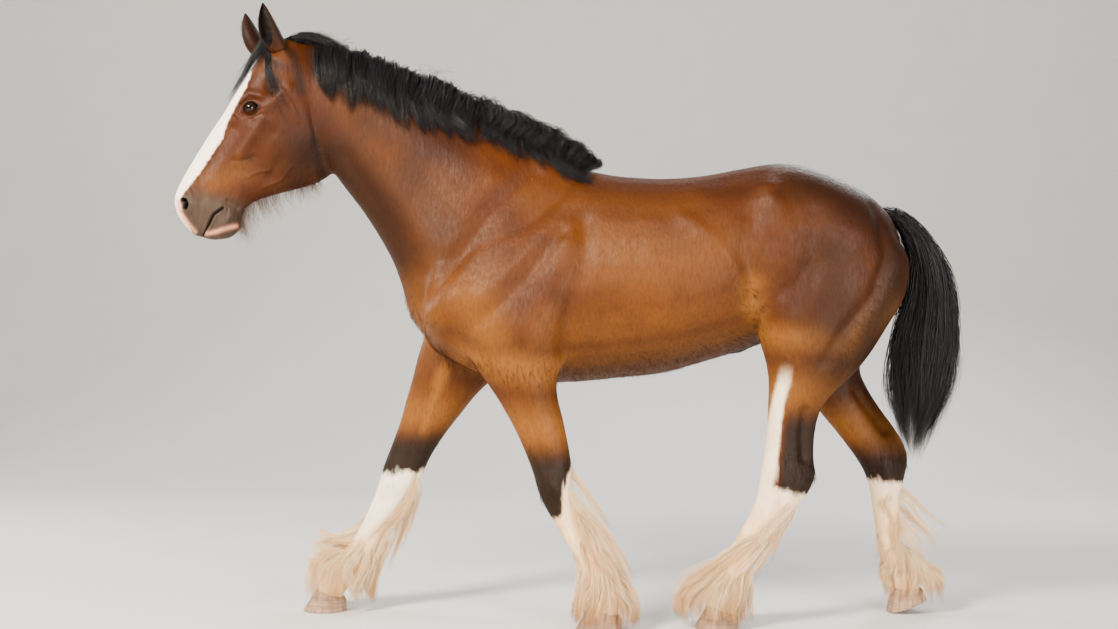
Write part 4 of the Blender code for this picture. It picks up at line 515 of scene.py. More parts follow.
# The long hair of each lower leg, out to its tips
FEATHERS = {
    "near_fore": (
        Rib((-0.100, 0.600), (0.012, 0.610), 0.030, 0.205),
        Rib((-0.085, 0.520), (0.085, 0.530), 0.044, 0.205),
        Rib((-0.070, 0.440), (0.135, 0.435), 0.056, 0.205),
        Rib((-0.040, 0.350), (0.165, 0.345), 0.068, 0.205),
        Rib((-0.010, 0.265), (0.208, 0.262), 0.084, 0.205),
        Rib((0.004, 0.185), (0.250, 0.178), 0.100, 0.205),
        Rib((-0.008, 0.105), (0.272, 0.105), 0.112, 0.205),
        Rib((-0.018, 0.028), (0.230, 0.012), 0.112, 0.205),
    ),
    "off_fore": (
        Rib((-0.745, 0.560), (-0.578, 0.600), 0.032, 0.200),
        Rib((-0.770, 0.490), (-0.572, 0.500), 0.048, 0.200),
        Rib((-0.830, 0.420), (-0.592, 0.400), 0.060, 0.200),
        Rib((-0.920, 0.360), (-0.650, 0.310), 0.070, 0.200),
        Rib((-1.010, 0.320), (-0.710, 0.225), 0.084, 0.200),
        Rib((-1.075, 0.275), (-0.762, 0.150), 0.096, 0.200),
        Rib((-1.086, 0.190), (-0.796, 0.080), 0.104, 0.200),
        Rib((-1.062, 0.110), (-0.802, 0.022), 0.100, 0.200),
    ),
    "near_hind": (
        Rib((0.770, 0.520), (0.896, 0.530), 0.030, 0.168),
        Rib((0.715, 0.450), (0.872, 0.440), 0.050, 0.168),
        Rib((0.655, 0.380), (0.818, 0.350), 0.064, 0.168),
        Rib((0.575, 0.310), (0.765, 0.270), 0.080, 0.168),
        Rib((0.480, 0.245), (0.718, 0.200), 0.094, 0.168),
        Rib((0.395, 0.200), (0.692, 0.130), 0.106, 0.168),
        Rib((0.345, 0.130), (0.668, 0.070), 0.110, 0.168),
        Rib((0.385, 0.050), (0.660, 0.016), 0.104, 0.168),
    ),
    "off_hind": (
        Rib((1.205, 0.520), (1.368, 0.530), 0.034, 0.168),
        Rib((1.205, 0.450), (1.420, 0.465), 0.052, 0.168),
        Rib((1.212, 0.370), (1.492, 0.390), 0.064, 0.168),
        Rib((1.222, 0.290), (1.556, 0.310), 0.080, 0.168),
        Rib((1.230, 0.210), (1.548, 0.225), 0.094, 0.168),
        Rib((1.235, 0.135), (1.518, 0.150), 0.100, 0.168),
        Rib((1.240, 0.060), (1.486, 0.085), 0.096, 0.168),
    ),
}
# The crest the mane grows from, the line its tips fall to on the near side, and how high it stands
CREST = ((-1.050, 2.256), (-0.940, 2.222), (-0.750, 2.150), (-0.590, 2.080), (-0.430, 2.000),
         (-0.260, 1.920), (-0.110, 1.850), (0.040, 1.782))
MANE_EDGE = ((-0.965, 1.985), (-0.870, 1.950), (-0.745, 1.925), (-0.600, 1.893), (-0.450, 1.878),
             (-0.290, 1.825), (-0.140, 1.770), (0.080, 1.722))
MANE_RISES = (0.046, 0.034, 0.060, 0.062, 0.080, 0.088, 0.080, 0.072, 0.040)
# The forelock down the forehead, in the straight head's frame
FORELOCK = ((-1.165, 0.000, 2.275), (-1.235, 0.006, 2.225), (-1.292, 0.014, 2.120), (-1.348, 0.018, 1.995))


def surface_of(obj):
    """A tree that finds the nearest place on obj."""
    bm = bmesh.new()
    bm.from_mesh(obj.data)
    tree = BVHTree.FromBMesh(bm)
    bm.free()
    return tree


def lay(tree, point, off):
    """The place off above the surface nearest to point."""
    place, normal, _, _ = tree.find_nearest(Vector(point))
    return place + normal * off


def along(line, t):
    """The point a fraction t of the way along a list of points."""
    t = min(max(t, 0), 1) * (len(line) - 1)
    i = min(int(t), len(line) - 2)
    return Vector(line[i]).lerp(Vector(line[i + 1]), t - i)


def envelope_point(ribs, t, turn, scale, flip):
    """A point of the form that the ribs enclose, a fraction t down it, turned round from its front."""
    at = min(max(t, 0), 1) * (len(ribs) - 1)
    i = min(int(at), len(ribs) - 2)
    mixed = np.array([(*r.front, *r.back, r.half, r.side) for r in ribs[i : i + 2]])
    fx, fz, bx, bz, half, side = mixed[0] + (mixed[1] - mixed[0]) * (at - i)
    middle = Vector(((fx + bx) / 2, flip * side, (fz + bz) / 2))
    forward = Vector((fx - bx, 0, fz - bz)) / 2
    return middle + (forward * math.cos(turn) + Vector((0, flip * half * math.sin(turn), 0))) * scale


# The skin: the remeshing step, its softening, its triangles, and how far it lies inside the solids
SKIN_VOXEL = 0.0093
SKIN_SOFTENING = 21
SKIN_TRIANGLES = 190000
SKIN_DEPTH = 0.0012
# Up to where the skin covers an ear, and its rings there: fraction up the ear and size
EAR_ROOT_RINGS = ((-0.14, 1.15), (0.0, 1.06), (0.12, 0.98), (0.204, 0.86), (0.24, 0.5))
EAR_ROOT_SIDES = 24
RANDOM = np.random.default_rng(11)


def on_the_head(co):
    """1 for points of the head, 0 for the rest of the horse."""
    return head_part(co) * step(co[:, 2], 1.36, 1.44)


def mirrored(points):
    """The points with those of the near side moved across to the off one."""
    return np.column_stack([points[:, 0], np.abs(points[:, 1]), points[:, 2]])


# How near the middle of the eye, nostril and mouth the head's faces are split once more
CLOSE_EYE = 0.050
CLOSE_NOSTRIL = 0.034
CLOSE_MOUTH = 0.022
# How far from the head's middle plane the mouth's line begins
LIP_FROM = 0.012


def finer(obj):
    """Splits the head's faces, then those round the eyes, nostrils and mouth once more."""
    for close in (False, True):
        bm = bmesh.new()
        bm.from_mesh(obj.data)
        co, _ = mesh_arrays(obj.data)
        chosen = on_the_head(co) > 0.5
        if close:
            local = to_head(co)
            near = np.linalg.norm(mirrored(local) - EYE, axis=1) < CLOSE_EYE
            near |= line_distance(local[:, [0, 2]], NOSTRIL) < CLOSE_NOSTRIL
            off_middle = np.abs(local[:, 1]) > LIP_FROM
            near |= (line_distance(local[:, [0, 2]], MOUTH) < CLOSE_MOUTH) & off_middle
            chosen &= near
        edges = [e for e in bm.edges if chosen[e.verts[0].index] and chosen[e.verts[1].index]]
        bmesh.ops.subdivide_edges(bm, edges=edges, cuts=1, use_grid_fill=True)
        bm.to_mesh(obj.data)
        bm.free()
    smooth = obj.modifiers.new("Smooth", "SMOOTH")
    smooth.factor = 0.4
    smooth.iterations = 3
    applied(obj)


def ear_measure(t, column):
    """A measure of the ear a fraction t up it: 1 its width, 2 its depth, 3 how wide it is open."""
    return np.interp(t, [row[0] for row in EAR_PROFILE], [row[column] for row in EAR_PROFILE])


def ear_point(side, t, turn, grow=1.0):
    """A point on the ear's leaf shape, a fraction t up it, turned round from its open side."""
    base, axis, opening, across = ear_axes(side)
    wide, thick = (ear_measure(t, column) * grow for column in (1, 2))
    bend = across * side * 0.012 * math.sin(math.pi * t) + opening * 0.010 * math.sin(math.pi * t * 0.9)
    return base + axis * t + bend + across * wide * math.sin(turn) + opening * thick * math.cos(turn)


def ear_roots(bm):
    """The solid lower part of each ear, which the skin covers."""
    turns = np.linspace(0, 2 * math.pi, EAR_ROOT_SIDES + 1)[:-1]
    for side in (NEAR, OFF):
        loops = []
        for t, grow in EAR_ROOT_RINGS:
            loops.append([bm.verts.new(head_turn() @ ear_point(side, t, turn, grow)) for turn in turns])
        close_loft(bm, loops)


# Eye opening, nostril and mouth in the straight head's frame
LID_LONG = 0.0275
LID_HIGH = 0.0168
LID_POWER = 1.55
LID_THICK = 0.0032
LID_RIM = 0.0022
LID_FOLD = 0.0026
NOSTRIL_CURVE = ((-1.520, 1.632), (-1.510, 1.629), (-1.504, 1.616), (-1.508, 1.602))
NOSTRIL_WIDE = 0.0080
NOSTRIL_DEEP = 0.024
NOSTRIL_RIM = 0.0035
MOUTH_DEEP = 0.008
LIP_RIM = 0.0028
# Veins, folds and creases of the face, finer than the solids' relief
FACE_LINES = (
    Stroke(((-1.153, 2.061), (-1.109, 2.005), (-1.083, 1.935)), 0.007, 0.0030),
    Stroke(((-1.175, 2.020), (-1.150, 1.960), (-1.140, 1.900)), 0.006, 0.0016),
    Stroke(((-1.334, 1.785), (-1.290, 1.783), (-1.246, 1.800)), 0.007, -0.0028),
    Stroke(((-1.271, 1.723), (-1.233, 1.742), (-1.189, 1.750)), 0.006, 0.0024),
    Stroke(((-1.209, 1.685), (-1.146, 1.711), (-1.108, 1.763)), 0.007, 0.0026),
    Stroke(((-1.305, 1.992), (-1.268, 2.026), (-1.218, 2.014)), 0.005, -0.0026),
    Stroke(((-1.298, 1.960), (-1.265, 1.942), (-1.228, 1.960)), 0.005, -0.0020),
    Stroke(((-1.235, 1.975), (-1.205, 1.985)), 0.005, -0.0022),
    Stroke(((-1.480, 1.600), (-1.455, 1.570), (-1.458, 1.540)), 0.006, -0.0020),
    Stroke(((-1.345, 1.600), (-1.352, 1.575)), 0.005, -0.0020),
)


def bell(value, middle, wide):
    """1 where value is middle, and less the further it is from it."""
    return np.exp(-(((value - middle) / wide) ** 2))


def almond(u, v):
    """How far out from the middle of the lids' opening a place is; 1 on its edge."""
    return ((np.abs(u) / LID_LONG) ** LID_POWER + (np.abs(v) / LID_HIGH) ** LID_POWER) ** (1 / LID_POWER)


def carve_face(obj):
    """Opens the lids, nostrils and mouth in the skin, and returns masks of the lids' rims and of the painted
    shade in the nostrils and along the mouth's line.
    """
    co, _ = mesh_arrays(obj.data)
    local = to_head(co)
    turned = np.array(head_turn().to_3x3())
    on_head = on_the_head(co) > 0.5
    rim = np.zeros(len(co))
    hollow_shade = np.zeros(len(co))
    for side in (NEAR, OFF):
        long, high, out = (np.array(v) for v in eye_axes(side))
        centre = np.array([EYE[0], side * EYE[1], EYE[2]])
        d = local - centre
        near = on_head & (np.linalg.norm(d, axis=1) < 0.075) & (local[:, 1] * side > 0.02)
        u, v, w = d @ long, d @ high, d @ out
        e = almond(u, v)
        ball = np.sqrt(np.maximum(EYE_RADIUS**2 - u**2 - v**2, 0))
        lid = np.sqrt(np.maximum((EYE_RADIUS + LID_THICK) ** 2 - u**2 - v**2, 0))
        over = np.maximum(w, lid)
        over = over + LID_RIM * bell(e, 1.12, 0.22) - LID_FOLD * bell(e, 1.75, 0.28)
        inside = 1 - step(e, 0.90, 1.04)
        target = over * (1 - inside) + (ball - 0.010) * inside
        fade = 1 - step(np.linalg.norm(d, axis=1), 0.055, 0.075)
        shift = np.where(near, (target - w) * np.where(e < 2.6, 1.0, fade), 0)
        local = local + out * shift[:, None]
        rim = np.maximum(rim, np.where(near, 1 - step(e, 1.05, 1.45), 0))
        far = line_distance(local[:, [0, 2]], NOSTRIL_CURVE)
        beside = on_head & (local[:, 1] * side > 0.015)
        sunk = (1 - step(far, NOSTRIL_WIDE * 0.45, NOSTRIL_WIDE)) * beside
        raised = bell(far, NOSTRIL_WIDE * 1.45, 0.006) * beside
        inward = np.array([0.75, -side * 0.62, 0.20])
        local = local + inward * (NOSTRIL_DEEP * sunk)[:, None]
        local[:, 1] += side * NOSTRIL_RIM * raised
        # Painted shade deep in the nostril
        hollow_shade = np.maximum(hollow_shade, (1 - step(far, NOSTRIL_WIDE * 0.7, NOSTRIL_WIDE * 1.1)) * beside)
    far = line_distance(local[:, [0, 2]], MOUTH)
    lips = on_head * step(np.abs(local[:, 1]), 0.004, 0.02)
    gap = (1 - step(far, 0.0008, 0.0034)) * lips
    outward = np.column_stack([0 * far, np.sign(local[:, 1]), 0 * far])
    local = local - outward * (MOUTH_DEEP * gap)[:, None]
    local = local + outward * (LIP_RIM * bell(far, 0.0085, 0.005) * lips)[:, None]
    hollow_shade = np.maximum(hollow_shade, gap * 0.8)
    x, y = HEAD_PIVOT
    world = (local + [-x, 0, 0]) @ turned.T + [x, y, 0]
    co = np.where(on_head[:, None], world, co)
    obj.data.vertices.foreach_set("co", co.astype(np.float32).ravel())
    obj.data.update()
    return rim, hollow_shade


# Markings, and painted light and shade, each a mask from 0 to 1 worked out from where a point is on the horse
# Height on the straight head and how far back the blaze reaches there, from its lower end up
BLAZE = ((1.495, 0.0), (1.540, 0.017), (1.580, 0.020), (1.631, 0.022), (1.676, 0.036), (1.728, 0.052),
         (1.798, 0.058), (1.870, 0.062), (1.928, 0.042), (1.992, 0.031), (2.057, 0.028), (2.116, 0.012),
         (2.145, 0.0))
# Height of each white stocking's edge at the front and at the back of the leg, and how it bends between
STOCKINGS = {
    "near_fore": (0.415, 0.625, 2.2),
    "off_fore": (0.560, 0.565, 1.0),
    "near_hind": (0.560, 0.500, 1.0),
    "off_hind": (0.530, 0.520, 1.0),
}
# Where the black of each leg ends
BLACK_TOPS = {"near_fore": 0.660, "off_fore": 0.700, "near_hind": 0.800, "off_hind": 0.640}
# The white stripe up the near hind leg: its top, and how far back across the leg it reaches
STRIPE_TOP = 1.000
STRIPE_BACK = 0.25
# Tan along the belly's side, the flank, the throat and the cheek: side-view lines, width and strength
TAN_LINES = (
    (((-0.42, 1.02), (-0.10, 0.98), (0.25, 1.02), (0.62, 1.10)), 0.07, 0.8),
    (((0.66, 1.30), (0.68, 1.12), (1.02, 1.08), (1.20, 1.22)), 0.06, 0.8),
    (((-0.98, 1.74), (-0.74, 1.46), (-0.66, 1.28)), 0.05, 0.35),
)
TAN_CHEEK = ((((-1.30, 1.75), (-1.40, 1.70)), 0.05, 0.35),)
# Painted shadow in bands behind and below the ears, on the straight head
EAR_SHADOW_BANDS = (
    (((-1.066, 2.24), (-1.052, 2.13)), 0.012, 0.9),
    (((-1.165, 2.16), (-1.125, 2.14)), 0.020, 0.9),
)


def wobble(co, scale, seed):
    """A smooth uneven field between -1 and 1."""
    angle = seed + np.arange(5) * 2.1
    total = np.zeros(len(co))
    for i, turn in enumerate(angle):
        ray = np.array([math.cos(turn), math.sin(1.7 * turn), math.cos(0.6 * turn + i)])
        total += np.sin(co @ ray * scale * (1 + 0.45 * i) + turn * 3) / (1 + 0.5 * i)
    return total / 3.0


def leg_place(name, co):
    """Whether each point is on a leg, and how far back across the leg it is."""
    ribs = densify(LEGS[name], 2)[::-1]
    front, back = (np.interp(co[:, 2], [r[end][1] for r in ribs], [r[end][0] for r in ribs])
                   for end in (0, 1))
    across = (co[:, 0] - front) / np.maximum(back - front, 0.02)
    own = (co[:, 1] * LEG_SIDE[name] > 0) & (across > -0.9) & (across < 2.6)
    return own, across


def markings(co, normals):
    """Masks of white and black hair, of light brown hair with painted light, of darker coat with painted
    shade, and of the grey skin of the muzzle.
    """
    white = np.zeros(len(co))
    black = np.zeros(len(co))
    tan_and_painted_light = np.zeros(len(co))
    jag = wobble(co, 70, 1.0) * 0.013 + wobble(co, 240, 4.0) * 0.007
    for name, (front, back, power) in STOCKINGS.items():
        own, across = leg_place(name, co)
        f = np.clip(across, 0, 1)
        line = front + (back - front) * f**power + jag
        own = own & (co[:, 2] < 1.08)
        legwise = 1 - step(co[:, 2], line - 0.009, line + 0.009)
        white = np.where(own, np.maximum(white, legwise), white)
        top = BLACK_TOPS[name]
        shade = 1 - step(co[:, 2], top - 0.05, top + 0.07)
        if name == "near_hind":
            stripe = 1 - step(across, STRIPE_BACK - 0.04 + jag, STRIPE_BACK + 0.03 + jag)
            stripe *= 1 - step(co[:, 2], STRIPE_TOP - 0.10, STRIPE_TOP + 0.02)
            stripe *= step(across + (STRIPE_TOP - co[:, 2]) * 0.6, 0.10, 0.16)
            white = np.where(own, np.maximum(white, stripe), white)
            shade *= step(across, 0.22, 0.42)
        black = np.where(own, np.maximum(black, shade), black)
        tan_and_painted_light = np.where(own, np.maximum(tan_and_painted_light, 0.8 * bell(co[:, 2] - top, 0.10, 0.10)), tan_and_painted_light)
    on_head = on_the_head(co)
    local = to_head(co)
    deep = np.interp(local[:, 2], *zip(*BLAZE))
    profile = densify(HEAD, 4)[::-1]
    front = np.interp(local[:, 2], [r.front[1] for r in profile], [r.front[0] for r in profile])
    uneven = wobble(local, 110, 2.0) * 0.0035 + wobble(local, 300, 5.0) * 0.0015
    blaze = (1 - step(local[:, 0] - front + uneven, deep - 0.003, deep + 0.004)) * step(deep, 0.0, 0.010)
    white = np.maximum(white, blaze * on_head)
    muzzle = on_head * (1 - step(local[:, 2] + 0.25 * (local[:, 0] + 1.45), 1.62, 1.70))
    # Painted shade under the belly
    under = step(-normals[:, 2], 0.35, 0.90) * step(co[:, 2], 0.85, 0.95) * (1 - on_head)
    dark = 0.75 * under * step(co[:, 0], -0.40, -0.10) * (1 - step(co[:, 0], 0.70, 0.95))
    topline = step(normals[:, 2], 0.30, 0.85) * step(co[:, 2], 1.55, 1.70) * step(co[:, 0], -0.15, 0.10)
    dark = np.maximum(dark, 0.45 * topline * (1 - on_head))
    # Painted shade at the end of the facial crest and in bands by the ears
    spot = near_spot(local, -1.264, 1.790, 0.016, 0.010)
    dark = np.maximum(dark, on_head * np.maximum(0.8 * spot, along_paths(local, EAR_SHADOW_BANDS)))
    chest = near_spot(co, -0.62, 1.16, 0.14, 0.22)
    cheek = on_head * along_paths(local, TAN_CHEEK)
    tan_and_painted_light = np.maximum.reduce([tan_and_painted_light, 0.55 * chest, along_paths(co, TAN_LINES), cheek])
    sheath = step(co[:, 0], 0.56, 0.60) * (1 - step(co[:, 0], 0.72, 0.76)) * (1 - step(co[:, 2], 1.08, 1.12))
    black = np.maximum(black, sheath * (1 - step(np.abs(co[:, 1]), 0.05, 0.08)) * step(co[:, 2], 0.90, 1.00))
    # Painted light on the off hind's hock: lighter brown and less black
    lit_hock = near_spot(co, 1.195, 0.71, 0.07, 0.07) * step(co[:, 1], 0.0, 0.05)
    tan_and_painted_light = np.maximum(tan_and_painted_light, 0.7 * lit_hock)
    black = black * (1 - 0.45 * lit_hock)
    return white, black, tan_and_painted_light, dark, muzzle


# Side-view lines along which shade is painted into the coat, each with its width and strength
SHADES = (
    (((-1.02, 1.80), (-0.92, 1.80), (-0.80, 1.62), (-0.70, 1.42)), 0.15, 0.82),
    (((-0.80, 1.95), (-0.50, 1.85)), 0.12, 0.55),
    (((-0.64, 1.74), (-0.50, 1.50)), 0.11, 0.45),
    (((-1.085, 2.21), (-1.060, 2.13), (-1.045, 2.05)), 0.022, 0.90),
    (((-1.030, 2.24), (-1.000, 2.12)), 0.024, 0.80),
    (((-1.150, 2.16), (-1.138, 2.09), (-1.120, 2.03)), 0.014, 0.75),
    (((0.90, 1.70), (1.10, 1.62), (1.25, 1.48)), 0.16, 0.80),
    (((1.22, 1.45), (1.20, 1.30), (1.12, 1.15), (1.08, 0.95)), 0.10, 0.85),
    (((0.98, 1.40), (1.00, 1.00)), 0.16, 0.72),
    (((-1.00, 1.86), (-0.985, 1.74)), 0.045, 0.95),
    (((-1.10, 1.74), (-1.02, 1.76)), 0.050, 0.60),
)
# The same where light is painted into the coat as lighter brown
GLOWS = (
    (((-0.40, 1.25), (-0.33, 1.12)), 0.11, 0.55),
    (((0.10, 1.45), (0.30, 1.38), (0.55, 1.42)), 0.16, 0.30),
    (((-0.10, 1.12), (0.25, 1.12), (0.60, 1.20)), 0.10, 0.35),
    (((-0.15, 1.64), (0.45, 1.62)), 0.07, 0.22),
    (((-0.52, 0.97), (-0.60, 0.73)), 0.035, 0.90),
)
# Between these heights the legs' white turns from cream to bright
BRIGHT_WHITE = (0.30, 0.56)
# The pink of the lower lip and of the upper one, on the straight head
PINK_LOWER = ((-1.425, 1.503), (-1.385, 1.512), (-1.345, 1.527), (-1.312, 1.535))
PINK_UPPER = ((-1.532, 1.628), (-1.524, 1.585), (-1.500, 1.545), (-1.470, 1.510))


def along_paths(co, paths):
    """How near each point is, in the side view, to any of some lines."""
    total = np.zeros(len(co))
    for path, wide, strength in paths:
        total = np.maximum(total, strength * near_line(co, path, wide))
    return total


def shading(co, on_head):
    """Masks of painted shade on the coat, of painted light on it and of bright white hair."""
    body = along_paths(co, SHADES)
    glow = along_paths(co, GLOWS) * (1 - on_head)
    fore = 1 - step(co[:, 0], -0.70, -0.55)
    bright = np.maximum(on_head, step(co[:, 2] + 0.12 * fore, *BRIGHT_WHITE) * (0.55 + 0.45 * fore))
    return body, glow, bright


def face_tint(local, on_head):
    """Pink skin of the lower lip, and round the front of the nostrils down to the upper lip."""
    return on_head * along_paths(local, ((PINK_LOWER, 0.0088, 1.0), (PINK_UPPER, 0.007, 0.9)))


def add_values(mesh, name, values):
    """Stores one number per point, which materials can read."""
    attribute = mesh.attributes.new(name, "FLOAT", "POINT")
    attribute.data.foreach_set("value", np.asarray(values, np.float32))


def read_values(mesh, name):
    """One stored number per point."""
    numbers = np.empty(len(mesh.vertices), np.float32)
    mesh.attributes[name].data.foreach_get("value", numbers)
    return numbers


def node(tree, kind, **settings):
    """A new shader node; each setting is one of its properties or of its sockets' values."""
    made = tree.nodes.new(kind)
    for key, value in settings.items():
        if key in made.bl_rna.properties:
            setattr(made, key, value)
        else:
            made.inputs[key.replace("_", " ")].default_value = value
    return made


class Look:
    """A procedural material put together step by step."""

    def __init__(self, name, roughness, specular, coat=0.0):
        self.material = bpy.data.materials.new(name)
        self.material.use_nodes = True
        self.tree = self.material.node_tree
        self.shader = self.tree.nodes["Principled BSDF"]
        self.shader.inputs["Roughness"].default_value = roughness
        self.shader.inputs["Specular IOR Level"].default_value = specular
        self.shader.inputs["Coat Weight"].default_value = coat

    def value(self, name):
        """A number stored for each point."""
        return node(self.tree, "ShaderNodeAttribute", attribute_name=name).outputs["Fac"]

    def noise(self, scale, detail=4.0, stretch=None, rough=0.6):
        """Noise over the object, drawn out along X, Y or Z where stretch says."""
        place = node(self.tree, "ShaderNodeTexCoord").outputs["Object"]
        if stretch:
            mapping = node(self.tree, "ShaderNodeMapping")
            mapping.inputs["Scale"].default_value = stretch
            self.tree.links.new(place, mapping.inputs["Vector"])
            place = mapping.outputs["Vector"]
        made = node(self.tree, "ShaderNodeTexNoise", Scale=scale, Detail=detail, Roughness=rough)
        self.tree.links.new(place, made.inputs["Vector"])
        return made.outputs["Fac"]

    def mapped(self, source, low, high, to_low=0.0, to_high=1.0):
        """source's range from low to high carried smoothly to another range."""
        made = node(self.tree, "ShaderNodeMapRange", interpolation_type="SMOOTHSTEP")
        for key, number in zip(("From Min", "From Max", "To Min", "To Max"), (low, high, to_low, to_high)):
            made.inputs[key].default_value = number
        self.tree.links.new(source, made.inputs["Value"])
        return made.outputs["Result"]

    def times(self, a, b):
        made = node(self.tree, "ShaderNodeMath", operation="MULTIPLY")
        for socket, given in zip(made.inputs, (a, b)):
            if isinstance(given, (int, float)):
                socket.default_value = given
            else:
                self.tree.links.new(given, socket)
        return made.outputs[0]

    def mix(self, factor, a, b):
        """From colour a to colour b by factor; each may be a colour or another step."""
        made = node(self.tree, "ShaderNodeMix", data_type="RGBA")
        self.tree.links.new(factor, made.inputs[0])
        for socket, given in zip((made.inputs[6], made.inputs[7]), (a, b)):
            if isinstance(given, tuple):
                socket.default_value = (*given, 1)
            else:
                self.tree.links.new(given, socket)
        return made.outputs[2]

    def height(self, low, high):
        """0 at the height low and below, 1 at high and above."""
        parts = node(self.tree, "ShaderNodeSeparateXYZ")
        place = node(self.tree, "ShaderNodeTexCoord").outputs["Object"]
        self.tree.links.new(place, parts.inputs[0])
        return self.mapped(parts.outputs["Z"], low, high)

    def colour(self, source):
        self.tree.links.new(source, self.shader.inputs["Base Color"])

    def roughness(self, source):
        self.tree.links.new(source, self.shader.inputs["Roughness"])

    def bump(self, source, strength, distance):
        """Adds fine relief on top of any the shader has."""
        made = node(self.tree, "ShaderNodeBump", Strength=strength, Distance=distance)
        self.tree.links.new(source, made.inputs["Height"])
        last = self.shader.inputs["Normal"]
        if last.is_linked:
            self.tree.links.new(last.links[0].from_socket, made.inputs["Normal"])
        self.tree.links.new(made.outputs["Normal"], last)


# Tones of coat, skin, hair, horn and eye, as linear colours
BAY = (0.074, 0.0166, 0.0014)
BAY_LIGHT = (0.124, 0.0345, 0.0036)
BAY_DEEP = (0.028, 0.0070, 0.0007)
# The coat's darker topline, also the colour of painted shade under the belly and by the ears
BAY_TOP_AND_SHADE = (0.048, 0.0135, 0.0032)
BAY_SHADE = (0.018, 0.0050, 0.0006)
# Tan hair, also the colour of painted light on the coat
TAN_AND_PAINTED_LIGHT = (0.30, 0.118, 0.026)
BLACK_HAIR = (0.024, 0.0115, 0.0055)
BLACK_ROOT = (0.007, 0.006, 0.006)
MANE_TIP = (0.020, 0.018, 0.018)
# Lighter strands of mane and tail: a painted sheen
MANE_SHEEN = (0.055, 0.053, 0.060)
TAIL_TIP = (0.015, 0.013, 0.013)
TAIL_SHEEN = (0.060, 0.056, 0.060)
CHIN_ROOT = (0.040, 0.020, 0.010)
CHIN_TIP = (0.15, 0.085, 0.045)
CHIN_STREAK = (0.24, 0.15, 0.09)
FEATHER_ROOT = (1.0, 0.77, 0.48)
FEATHER_TIP = (0.86, 0.50, 0.23)
FEATHER_BRIGHT = (1.0, 0.89, 0.66)
FEATHER_MUDDY = (0.66, 0.36, 0.16)
# Up to this height the feather is stained by the ground
FEATHER_LOW = 0.14
HORN_LIGHT = (0.50, 0.33, 0.22)
HORN_MIDDLE = (0.30, 0.19, 0.125)
HORN_DARK = (0.20, 0.14, 0.10)
PUPIL = (0.005, 0.004, 0.004)
IRIS = (0.022, 0.009, 0.005)
IRIS_STREAK = (0.045, 0.018, 0.008)
WHITE_HAIR = (1.0, 0.89, 0.73)
CREAM = (1.0, 0.72, 0.43)
CREAM_SHADE = (0.82, 0.48, 0.23)
PINK = (0.74, 0.34, 0.22)
MUZZLE = (0.080, 0.052, 0.036)
# Dark lid rims, also the colour of painted shade in the nostrils and along the mouth's line
WET_BLACK_AND_SHADE = (0.012, 0.009, 0.008)


def skin_look(name, relief_on):
    """The marked coat with its painted light and shade; the short tufts wear the same without its bump."""
    look = Look(name, 0.48, 0.32)
    broad = look.noise(2.6, 3.0)
    patch = look.noise(9.0, 4.0)
    fine = look.noise(95.0, 4.0, (1.0, 1.0, 0.35), 0.7)
    colour = look.mix(look.mapped(broad, 0.38, 0.66), BAY, BAY_LIGHT)
    colour = look.mix(look.mapped(patch, 0.50, 0.85, 0.0, 0.55), colour, BAY_DEEP)
    # The tan mask holds tan hair and painted light along the GLOWS lines and on the off hind's hock
    colour = look.mix(look.value("tan_and_painted_light"), colour, TAN_AND_PAINTED_LIGHT)
    # The dark mask: the coat's darker topline and painted shade under the belly and by the ears
    colour = look.mix(look.value("dark"), colour, BAY_TOP_AND_SHADE)
    # The shade mask is painted shade along the SHADES lines
    colour = look.mix(look.value("shade"), colour, BAY_SHADE)
    colour = look.mix(look.value("muzzle"), colour, MUZZLE)
    colour = look.mix(look.value("black"), colour, BLACK_HAIR)
    colour = look.mix(look.mapped(fine, 0.35, 0.75, 0.0, 0.30), colour, BAY_DEEP)
    pale = look.mix(look.mapped(look.noise(22.0, 4.0, (1.0, 1.0, 0.3), 0.6), 0.35, 0.70), CREAM, CREAM_SHADE)
    pale = look.mix(look.value("bright"), pale, WHITE_HAIR)
    pale = look.mix(look.mapped(fine, 0.45, 0.80, 0.0, 0.35), pale, CREAM_SHADE)
    colour = look.mix(look.value("white"), colour, pale)
    colour = look.mix(look.value("pink"), colour, PINK)
    # Dark lid rims, and painted shade in the nostrils and along the mouth's line
    colour = look.mix(look.value("rim"), colour, WET_BLACK_AND_SHADE)
    colour = look.mix(look.value("hollow_shade"), colour, WET_BLACK_AND_SHADE)
    look.colour(colour)
    look.roughness(look.mapped(fine, 0.2, 0.8, 0.44, 0.64))
    if relief_on:
        look.bump(look.noise(24.0, 4.0, (1.0, 1.0, 0.22), 0.6), 0.30, 0.010)
        look.bump(look.noise(70.0, 4.0, (1.0, 1.0, 0.30), 0.65), 0.30, 0.006)
        look.bump(look.noise(420.0, 3.0, (1.0, 1.0, 0.22), 0.7), 0.42, 0.0016)
    return look.material


def hair_look(name, root, tip, streak_and_sheen, roughness, specular):
    """Long hair, from its root's colour to its tip's, with lighter strands; on the mane and tail these are a
    painted sheen.
    """
    look = Look(name, roughness, specular)
    colour = look.mix(look.value("along"), root, tip)
    colour = look.mix(look.times(look.value("shade"), 0.8), colour, streak_and_sheen)
    look.colour(colour)
    look.bump(look.noise(900.0, 2.0), 0.10, 0.0005)
    return look.material


